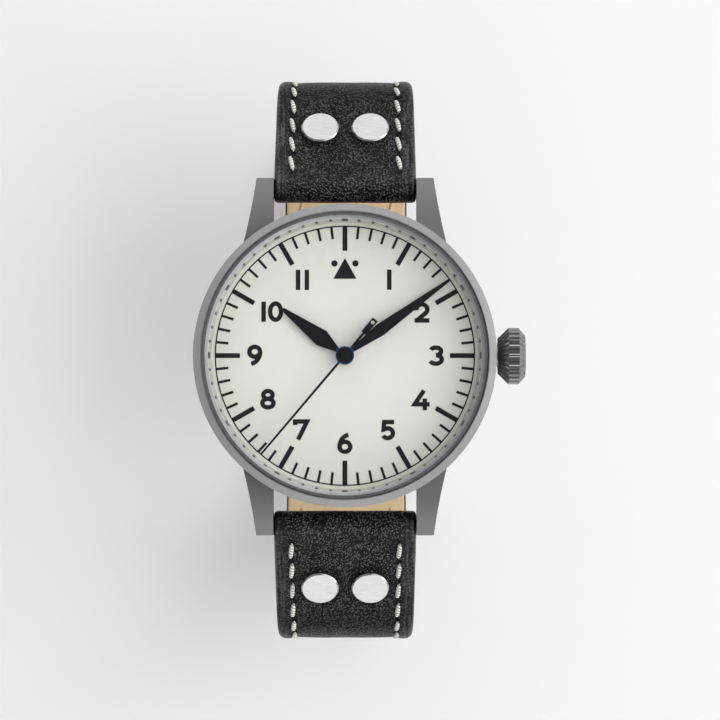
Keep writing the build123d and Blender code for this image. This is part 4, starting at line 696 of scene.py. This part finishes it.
def across_columns(count):
    """Shares from -1 to 1 across the strap, closer together towards both edges."""
    even = np.linspace(-1, 1, count)
    return np.sign(even) * (1 - (1 - np.abs(even)) ** COLUMN_CROWDING)


def section_travels(half, gap, start, fine_until, fine, coarse, count):
    """Travels of a layer's sections, which end a gap before the half does."""
    near_end = half.length - END_RUN
    return np.concatenate([np.arange(start, fine_until, fine), np.arange(fine_until, near_end, coarse),
                           np.linspace(near_end, half.length - gap, count)])


def section(x, y, z, y_in, z_in):
    """One section's loop: across the outer face and back along the inner face, which is straight."""
    return (np.concatenate([x, x[::-1]]), np.concatenate([y, y_in]), np.concatenate([z, z_in]))


def turned_end(half, x, depth):
    """Sections of the leather's turn round the buckle bar and of its thinned tail on the lining.

    The turn is half a circle about the bar; the tail runs level and thins evenly.
    """
    face = FAR_THICK / 2
    middle = half.low + face
    spots = []
    for angle in np.radians(np.linspace(TURN_FROM, TURN_TO, TURN_STEPS)):
        reach = face + TURN_PROUD * min(1, (-math.pi / 2 - angle) / TURN_EASE) - depth
        way = np.array([math.cos(angle), math.sin(angle)])
        spots.append((reach * way[0], reach * way[1], BAR_HOLE * way[0], BAR_HOLE * way[1]))
    for share in np.linspace(TAIL_FROM, 1, TAIL_STEPS):
        outer = face + TURN_PROUD - TAIL_THINNING * share - depth * (1 - share)
        inner = BAR_HOLE + TAIL_RISE * min(1, TAIL_STEEPNESS * share)
        spots.append((TAIL_LENGTH * share, outer, TAIL_LENGTH * share, inner))
    level = np.zeros_like(x)
    return [section(x, level + y + half.end_y, level + z + middle, level + y_in + half.end_y,
                    level + z_in + middle) for y, z, y_in, z_in in spots]


def outer_leather(half):
    """Padded outer leather of a half, rolled round its spring bar, as one closed skin.

    Each section is a loop: across the padded face, down the rounded edge, back under at the
    depth where the lining starts. Sections start behind the bar, come round it and follow the run.
    """
    share = across_columns(LEATHER_COLUMNS)
    turned = half is short_half
    sections = []
    for angle in np.linspace(ROLL_FROM, ROLL_TO, ROLL_STEPS):
        width = float(half.half_width(half.rolled(angle, ROLL)[1]))
        x = share * width
        depth = padding(half, np.zeros_like(x), x, width)
        outer = half.rolled(angle, ROLL - depth - ROLL_THINNING * angle / math.pi)
        sections.append(section(x, *outer, *half.rolled(angle, np.full_like(x, BORE))))
    under = THICK - LINING
    for travel in section_travels(half, 0.0, *LEATHER_SECTIONS):
        width = half.width_at(travel)
        x = share * max(width, LEAST_HALF)
        depth = padding(half, np.full_like(x, travel), x, width)
        start = min(travel / START_RUN, 1.0)
        inner = under * start + (ROLL - BORE) * (1 - start)
        if turned:
            inner -= (under - TURN_DEPTH) * np.clip((travel - half.length + TURN_RUN) / TURN_RUN, 0, 1)
        else:
            depth = depth + END_ROUND * rounded_off(1 - np.clip((half.length - travel) / END_ROUND, 0, 1))
        sections.append(section(x, *half.at(travel, depth), *half.at(travel, np.full_like(x, inner))))
    if turned:
        sections += turned_end(half, x, depth * FAR_THICK / THICK)
    made = strap_layer(half.name + "_leather", half, sections, -half.side, (leather,),
                       np.zeros(2 * len(share), int))
    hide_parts(half.name)
    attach(made, half.name)
    return made


def inner_lining(half):
    """Lining of a half: a thin closed band under the leather with rounded black-painted edges."""
    share = across_columns(LINING_COLUMNS)
    gap = SHORT_LINING_GAP if half is short_half else LONG_LINING_GAP
    sections = []
    for travel in section_travels(half, gap, *LINING_SECTIONS):
        width = half.width_at(travel) - LINING_INSET
        x = share * max(width, LEAST_HALF)
        edge = np.clip(width - np.abs(x), 0, None)
        lift = LINING_LIFT * rounded_off(np.clip(1 - edge / LINING_EDGE, 0, 1))
        groove = LINING_GROOVE * bell(edge - ROW_INSET, GROOVE_REACH)
        inner = half.at(travel, THICK - lift - groove)
        sections.append(section(x, *inner, *half.at(travel, np.full_like(x, THICK - LINING))))
    painted = np.zeros(2 * len(share), int)
    painted[[0, len(share) - 2, len(share) - 1, -1]] = 1
    made = strap_layer(half.name + "_inside", half, sections, half.side, (tan, edge_black), painted)
    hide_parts(half.name + "_lining")
    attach(made, half.name)
    return made


def stitch_points(half, middle, side, lining):
    """Points of one stitch in a row on one side, on the leather or on the lining.

    It is a bowed spindle: its radius falls to nothing at both ends by a root curve, it is
    flattened against the leather, turned a few degrees, and its ends sink into the holes.
    """
    length = (LINING_STITCH if lining else LEATHER_STITCH)[0]
    share = np.linspace(-1, 1, ALONG)
    turn = np.linspace(0, 2 * math.pi, AROUND, endpoint=False)
    travel = middle + share * length / 2
    size = STITCH_RADIUS * np.sqrt(np.clip(1 - np.abs(share) ** STITCH_POWER, 0, 1)) + STITCH_TIP
    y_mid, z_mid = half.at(travel, 0.0)
    ahead_y, ahead_z = half.at(travel + STEP_AHEAD, 0.0)
    tangent = np.stack([ahead_y - y_mid, ahead_z - z_mid], -1)
    tangent /= np.linalg.norm(tangent, axis=1, keepdims=True)
    outward = np.stack([-tangent[:, 1], tangent[:, 0]], -1)
    sunk = STITCH_BOW * share ** 2
    if lining:
        y, z = half.at(travel, THICK - LINING_SUNK - sunk * LINING_BOW)
        size = size * LINING_THREAD
        outward = -outward
    else:
        y, z = half.at(travel, LEATHER_SUNK + sunk + slack(travel))
    middle_x = side * (half.half_width(z_mid) - ROW_INSET) + half.slant * share
    off = np.cos(turn)[None, :] * size[:, None]
    rise = np.sin(turn)[None, :] * size[:, None] * STITCH_FLATTENING
    x = middle_x[:, None] + off
    y = y[:, None] + rise * outward[:, 0:1]
    z = z[:, None] + rise * outward[:, 1:2]
    return np.stack([x, y * half.side, z], -1).reshape(-1, 3)


def stitch_flat():
    """Flat coordinates of a stitch's face corners, in which its strands lie askew."""
    row, column = np.meshgrid(np.arange(ALONG - 1), np.arange(AROUND), indexing="ij")
    along = np.stack([row, row, row + 1, row + 1], -1) / (ALONG - 1)
    around = np.stack([column, column + 1, column + 1, column], -1) / AROUND
    return np.stack([along * STRANDS + around * STRAND_TURNS, around], -1).reshape(-1, 4, 2)


def stitch_rows(half):
    """Saddle stitches of a half: two rows on the leather and two on the lining, between those."""
    quads, corners = tube_faces(ALONG, AROUND), stitch_flat()
    points, faces, flat, inner = [], [], [], []
    for middle in stitch_travels(half):
        for side in (-1, 1):
            for lining, (length, shift) in enumerate((LEATHER_STITCH, LINING_STITCH)):
                if middle + shift + length / 2 > half.length - STITCH_MARGIN:
                    continue
                order = 1 if (half.side > 0) != bool(lining) else -1
                faces.append((quads + len(points) * AROUND * ALONG)[:, ::order])
                flat.append(corners[:, ::order])
                inner += [lining] * len(quads)
                points.append(stitch_points(half, middle + shift, side, lining))
    made = mesh_object(half.name + "_thread", np.concatenate(points), np.concatenate(faces).tolist(),
                       (thread, inner_thread), smooth=True)
    layer = made.data.uv_layers.new(name="stitch")
    layer.data.foreach_set("uv", np.concatenate(flat).reshape(-1).astype(np.float32))
    made.data.polygons.foreach_set("material_index", inner)
    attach(made, half.name)


# Strap: openings and keepers, in millimetres
HOLE_COUNT, HOLE_PITCH, HOLE_RADIUS, HOLE_FROM_TIP, HOLE_POINTS = 5, 6.5, 0.9, 13.0, 28
SLOT_HALF, SLOT_BEFORE, SLOT_BEHIND = 1.6, 4, 5
HOLE_LOW, HOLE_HIGH, SLOT_LOW, SLOT_HIGH = -2, 5, -3, 6
KEEPER_WALL, KEEPER_WIDTH, KEEPER_CORNER, KEEPER_SIDE_GAP = 1.0, 5.0, 0.9, 0.3
KEEPER_STEP, KEEPER_CORNER_POINTS, KEEPER_POINTS, KEEPER_POWER = 0.7, 9, 24, 4
# Each keeper: how far it is from the buckle bar, its gap over the leather, and its body.
KEEPERS = {"keeper_fixed": (8.0, 0.02, "strap_upper"), "keeper_sliding": (14.6, 0.3, "keeper")}


def cut_out(piece, tools):
    """Takes the tools' shapes out of a piece for good."""
    for tool in tools:
        cut = piece.modifiers.new("opening", "BOOLEAN")
        cut.operation, cut.solver, cut.object = "DIFFERENCE", "EXACT", tool
    bpy.context.view_layer.update()
    shaped = bpy.data.meshes.new_from_object(piece.evaluated_get(bpy.context.evaluated_depsgraph_get()))
    piece.modifiers.clear()
    piece.data = shaped
    for tool in tools:
        bpy.data.objects.remove(tool)


def adjusting_holes():
    """Cutters of the round holes in the long half's flat run."""
    turn = np.linspace(0, 2 * math.pi, HOLE_POINTS, endpoint=False)
    ring = np.stack([HOLE_RADIUS * np.cos(turn), HOLE_RADIUS * np.sin(turn), 0 * turn], -1)
    places = [-(long_half.end_y + HOLE_FROM_TIP) - HOLE_PITCH * k for k in range(HOLE_COUNT)]
    low, high = long_half.low + HOLE_LOW, long_half.low + HOLE_HIGH
    return [closed_tube("hole", [ring + (0, y, low), ring + (0, y, high)]) for y in places]


def tang_slot():
    """Cutter of the slot for the tang."""
    near, far = short_half.end_y - SLOT_BEFORE, short_half.end_y + SLOT_BEHIND
    ring = np.array([(-SLOT_HALF, near, 0), (SLOT_HALF, near, 0), (SLOT_HALF, far, 0), (-SLOT_HALF, far, 0)])
    low, high = short_half.low + SLOT_LOW, short_half.low + SLOT_HIGH
    return [closed_tube("slot", [ring + (0, 0, low), ring + (0, 0, high)])]


def keeper_path(gap):
    """Places round a keeper's loop and the way out at each: a rounded rectangle with quarter circles."""
    half = FAR_WIDE + KEEPER_SIDE_GAP + KEEPER_WALL / 2
    high = short_half.low + FAR_THICK + gap + KEEPER_WALL / 2
    low = short_half.low - FAR_THICK - KEEPER_WALL / 2
    middle, tall = (high + low) / 2, (high - low) / 2
    corners = []
    for sx, sz, start in ((1, 1, 0), (-1, 1, 90), (-1, -1, 180), (1, -1, 270)):
        centre = np.array([sx * (half - KEEPER_CORNER), middle + sz * (tall - KEEPER_CORNER)])
        for turn in np.radians(np.linspace(start, start + 90, KEEPER_CORNER_POINTS)):
            way = np.array([math.cos(turn), math.sin(turn)])
            corners.append((centre + KEEPER_CORNER * way, way))
    path = []
    for (here, way), (there, next_way) in zip(corners, corners[1:] + corners[:1]):
        steps = max(1, int(np.hypot(*(there - here)) / KEEPER_STEP))
        for step in range(steps):
            share = step / steps
            out = way * (1 - share) + next_way * share
            path.append((here * (1 - share) + there * share, out / np.linalg.norm(out)))
    return path


def band_loop(name, y, gap, body):
    """Leather keeper: a band of rounded section swept round a rounded rectangle.

    The section is a superellipse, |a|^n + |b|^n = 1 with n = 4, half the keeper's width by half
    its wall.
    """
    turn = np.linspace(0, 2 * math.pi, KEEPER_POINTS, endpoint=False)
    across = np.sign(np.cos(turn)) * np.abs(np.cos(turn)) ** (2 / KEEPER_POWER) * KEEPER_WIDTH / 2
    through = np.sign(np.sin(turn)) * np.abs(np.sin(turn)) ** (2 / KEEPER_POWER) * KEEPER_WALL / 2
    rings = np.array([np.stack([spot[0] + through * way[0], y + across, spot[1] + through * way[1]], -1)
                      for spot, way in keeper_path(gap)])
    count, around = rings.shape[:2]
    faces = tube_faces(count + 1, around)[:, ::-1] % (count * around)
    made = mesh_object(name, rings, faces.tolist(), (leather,), smooth=True)
    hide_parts(name)
    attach(made, body)


for half in (short_half, long_half):
    for layer in (outer_leather(half), inner_lining(half)):
        cut_out(layer, tang_slot() if half is short_half else adjusting_holes())
    stitch_rows(half)
for name, (from_buckle, gap, body) in KEEPERS.items():
    band_loop(name, short_half.end_y + from_buckle, gap, body)


# Dial: numerals, drawn as middle lines in twentieths of their height
NUMERAL_HEIGHT, NUMERAL_STROKE = 2.8, 0.62
PRINT_LOW, PRINT_HIGH, PRINT_STEP = 7.4, 7.43, 0.001
GRID = 20.0
SHARPEST, TOUCHING = 0.45, 1e-6
ARC_STEP, ARC_LEAST = 7, 6


def line(*points):
    """Straight pieces of a middle line."""
    return np.array(points, float)


def arc(x, y, rx, ry, start, end):
    """Arc of an ellipse between two angles in degrees: (x + rx cos a, y + ry sin a)."""
    count = max(ARC_LEAST, int(abs(end - start) / ARC_STEP))
    turn = np.radians(np.linspace(start, end, count))
    return np.stack([x + rx * np.cos(turn), y + ry * np.sin(turn)], -1)


def run(*pieces):
    """One unbroken middle line from several pieces."""
    return np.concatenate(pieces)


LINES = {
    "1": [line((0, 10), (0, -10))],
    "0": [arc(0, 0, 5.4, 8.0, 90, 450)],
    "2": [run(arc(0, 2.9, 5.3, 5.1, 190, -38), line((-5.2, -8.0))), line((-7.4, -8.0), (7.4, -8.0))],
    "3": [arc(-0.2, 4.25, 5.2, 3.7, 158, -90), arc(-0.2, -3.75, 5.9, 4.2, 90, -158)],
    "4": [run(line((3.0, 9.6), (-6.2, -4.1)), line((8.6, -4.1))), line((3.8, 1.6), (3.8, -10))],
    "5": [run(line((6.0, 7.9), (-3.7, 7.9), (-4.4, 0.5)), arc(-0.3, -3.1, 5.2, 4.8, 126, -150))],
    "6": [arc(0, -3.0, 5.3, 4.9, 90, 450), arc(4.9, -3.0, 10.2, 11.9, 180, 98)],
    "7": [run(line((-5.9, 4.4), (-5.9, 7.9), (5.9, 7.9)), line((-3.0, -10)))],
    "8": [arc(0, 4.3, 4.6, 3.8, -90, 270), arc(0, -3.75, 5.5, 4.25, 90, 450)],
}
LINES["9"] = [-piece for piece in LINES["6"]]
PAIR_OFFSETS = {"11": (-4.35, 4.35), "10": (-8.5, 3.3)}
NUMERAL_PLACES = {
    "11": (-5.87, 10.47), "1": (6.13, 10.5), "10": (-10.05, 6.08), "2": (10.65, 5.98), "9": (-12.46, 0.11),
    "3": (12.59, 0.0), "8": (-10.63, -6.03), "4": (10.5, -6.15), "7": (-6.05, -10.21), "5": (5.95, -10.28),
    "6": (0.0, -12.17),
}


def stroke_outline(middle, half):
    """Both sides of a middle line, mitred at its corners and cut square at its ends."""
    keep = np.concatenate([[True], np.linalg.norm(np.diff(middle, axis=0), axis=1) > TOUCHING])
    middle = middle[keep]
    closed = np.linalg.norm(middle[0] - middle[-1]) < TOUCHING
    steps = np.diff(middle, axis=0)
    steps /= np.linalg.norm(steps, axis=1, keepdims=True)
    before = np.vstack([steps[-1:] if closed else steps[:1], steps])
    after = np.vstack([steps, steps[:1] if closed else steps[-1:]])
    normal = np.stack([-(before + after)[:, 1], (before + after)[:, 0]], -1)
    normal /= np.linalg.norm(normal, axis=1, keepdims=True)
    square = np.stack([-before[:, 1], before[:, 0]], -1)
    reach = half / np.clip(np.sum(normal * square, axis=1), SHARPEST, 1)
    return middle + normal * reach[:, None], middle - normal * reach[:, None]


def numeral(text, x, y):
    """Numeral printed on the dial, centred at a place in millimetres; figures stand side by side.

    Each stroke's top lies a little above the last one's, so that crossing strokes don't share a face.
    """
    size = NUMERAL_HEIGHT / GRID
    strokes = [(middle, offset) for figure, offset in zip(text, PAIR_OFFSETS.get(text, (0,)))
               for middle in LINES[figure]]
    points, faces = [], []
    for level, (middle, offset) in enumerate(strokes):
        sides = stroke_outline(middle, NUMERAL_STROKE / size / 2)
        base, count = len(points), len(sides[0])
        for height in (PRINT_HIGH + PRINT_STEP * level, PRINT_LOW):
            for side in sides:
                points += [(x + (px + offset) * size, y + py * size, height) for px, py in side]
        a, b, c, d = (base + row * count for row in range(4))
        for k in range(count - 1):
            faces += [(a + k, b + k, b + k + 1, a + k + 1), (c + k, c + k + 1, d + k + 1, d + k),
                      (a + k, a + k + 1, c + k + 1, c + k), (b + k, d + k, d + k + 1, b + k + 1)]
        end = count - 1
        faces += [(a, c, d, b), (a + end, b + end, d + end, c + end)]
    made = mesh_object("numeral_" + text, points, faces, (print_ink,))
    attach(made, "case")


for text, place in NUMERAL_PLACES.items():
    numeral(text, *place)


# Floor, light and camera, in metres and watts
FLOOR_HALF, FLOOR_GLOW = 3.0, 0.2
DOME_LEFT, DOME_RIGHT = (0.09, 0.09, 0.09), (0.42, 0.42, 0.46)
LAMPS = {
    "right_high": ((0.45, 0.1, 0.55), 0.7, 0.7, 2.15),
    "left_high": ((-0.45, 0.05, 0.52), 0.7, 0.7, 0.5),
    "right_low": ((0.64, 0.05, 0.25), 0.6, 0.3, 2.1),
    "twelve_low": ((-0.1, 0.65, 0.21), 0.9, 0.3, 1.6),
    "six_low": ((0.0, -0.65, 0.21), 0.9, 0.3, 1.6),
}
FOCAL, SENSOR = 164.5, 36
LEAN = math.radians(-1.5)
AIM_HEIGHT, AIM_RIGHT, AIM_DOWN, CAMERA_AWAY = 10.9 * MM, 2.09 * MM, 0.69 * MM, 453 * MM


def seen_white(tree, surface, glow):
    """Adds a glow that only the camera, gloss and glass see, so that the paper reads as white."""
    path = node(tree, "LightPath").outputs
    seen = maths(tree, "MAXIMUM", path["Is Camera Ray"], path["Is Glossy Ray"])
    seen = maths(tree, "MAXIMUM", seen, path["Is Transmission Ray"])
    strength = maths(tree, "MULTIPLY", seen, glow)
    light = node(tree, "Emission", {"Color": (1, 1, 1, 1), "Strength": strength})
    return node(tree, "AddShader", {0: surface, 1: light.outputs["Emission"]}).outputs["Shader"]


def studio_floor():
    """Pale paper under the watch that keeps its soft shadow."""
    half, height = FLOOR_HALF / MM, cad_box[0][2] / MM
    corners = [(x * half, y * half, height) for x, y in ((-1, -1), (1, -1), (1, 1), (-1, 1))]
    material, tree, shader = new_finish("paper", Roughness=0.8)
    fibre = noise(tree, object_place(tree), 0.6 * MM, 3)
    join(tree, shader, Base_Color=ramp(tree, fibre, [(0.3, (0.8, 0.8, 0.8)), (0.7, (0.84, 0.84, 0.84))]))
    surface = seen_white(tree, shader.outputs["BSDF"], FLOOR_GLOW)
    tree.links.new(surface, tree.nodes["Material Output"].inputs["Surface"])
    mesh_object("studio_floor", corners, [(0, 1, 2, 3)], (material,))


def softbox(name, place, width, height, power):
    """Rectangular soft lamp at a place, facing the watch."""
    lamp = bpy.data.lights.new(name, "AREA")
    lamp.shape, lamp.size, lamp.size_y, lamp.energy = "RECTANGLE", width, height, power
    box = bpy.data.objects.new(name, lamp)
    box.location = place
    box.rotation_mode = "QUATERNION"
    box.rotation_quaternion = (-Vector(place)).to_track_quat("-Z", "Y")
    bpy.context.scene.collection.objects.link(box)


def studio_light():
    """Dim surround, darker on the left, with soft lamps high on both sides and low on three."""
    world = bpy.data.worlds.new("studio")
    world.use_nodes = True
    tree = world.node_tree
    way = node(tree, "SeparateXYZ", {"Vector": node(tree, "TexCoord").outputs["Generated"]}).outputs["X"]
    dome = ramp(tree, between(tree, way, -0.7, 0.7), [(0.0, DOME_LEFT), (1.0, DOME_RIGHT)])
    tree.links.new(dome, tree.nodes["Background"].inputs["Color"])
    bpy.context.scene.world = world
    for name, settings in LAMPS.items():
        softbox(name, *settings)


def photo_camera():
    """Camera almost straight above the dial, leaning a little towards six o'clock."""
    lens = bpy.data.cameras.new("camera")
    lens.lens, lens.sensor_width = FOCAL, SENSOR
    lens.clip_start, lens.clip_end = 0.01, 10
    camera = bpy.data.objects.new("camera", lens)
    right, up = Vector((1, 0, 0)), Vector((0, math.cos(LEAN), -math.sin(LEAN)))
    back = right.cross(up)
    place = Vector((0, 0, AIM_HEIGHT)) + right * AIM_RIGHT - up * AIM_DOWN + back * CAMERA_AWAY
    camera.matrix_world = Matrix.Translation(place) @ Matrix((right, up, back)).transposed().to_4x4()
    bpy.context.scene.collection.objects.link(camera)
    bpy.context.scene.camera = camera


studio_floor()
studio_light()
photo_camera()
bpy.context.scene.view_settings.view_transform = "Standard"
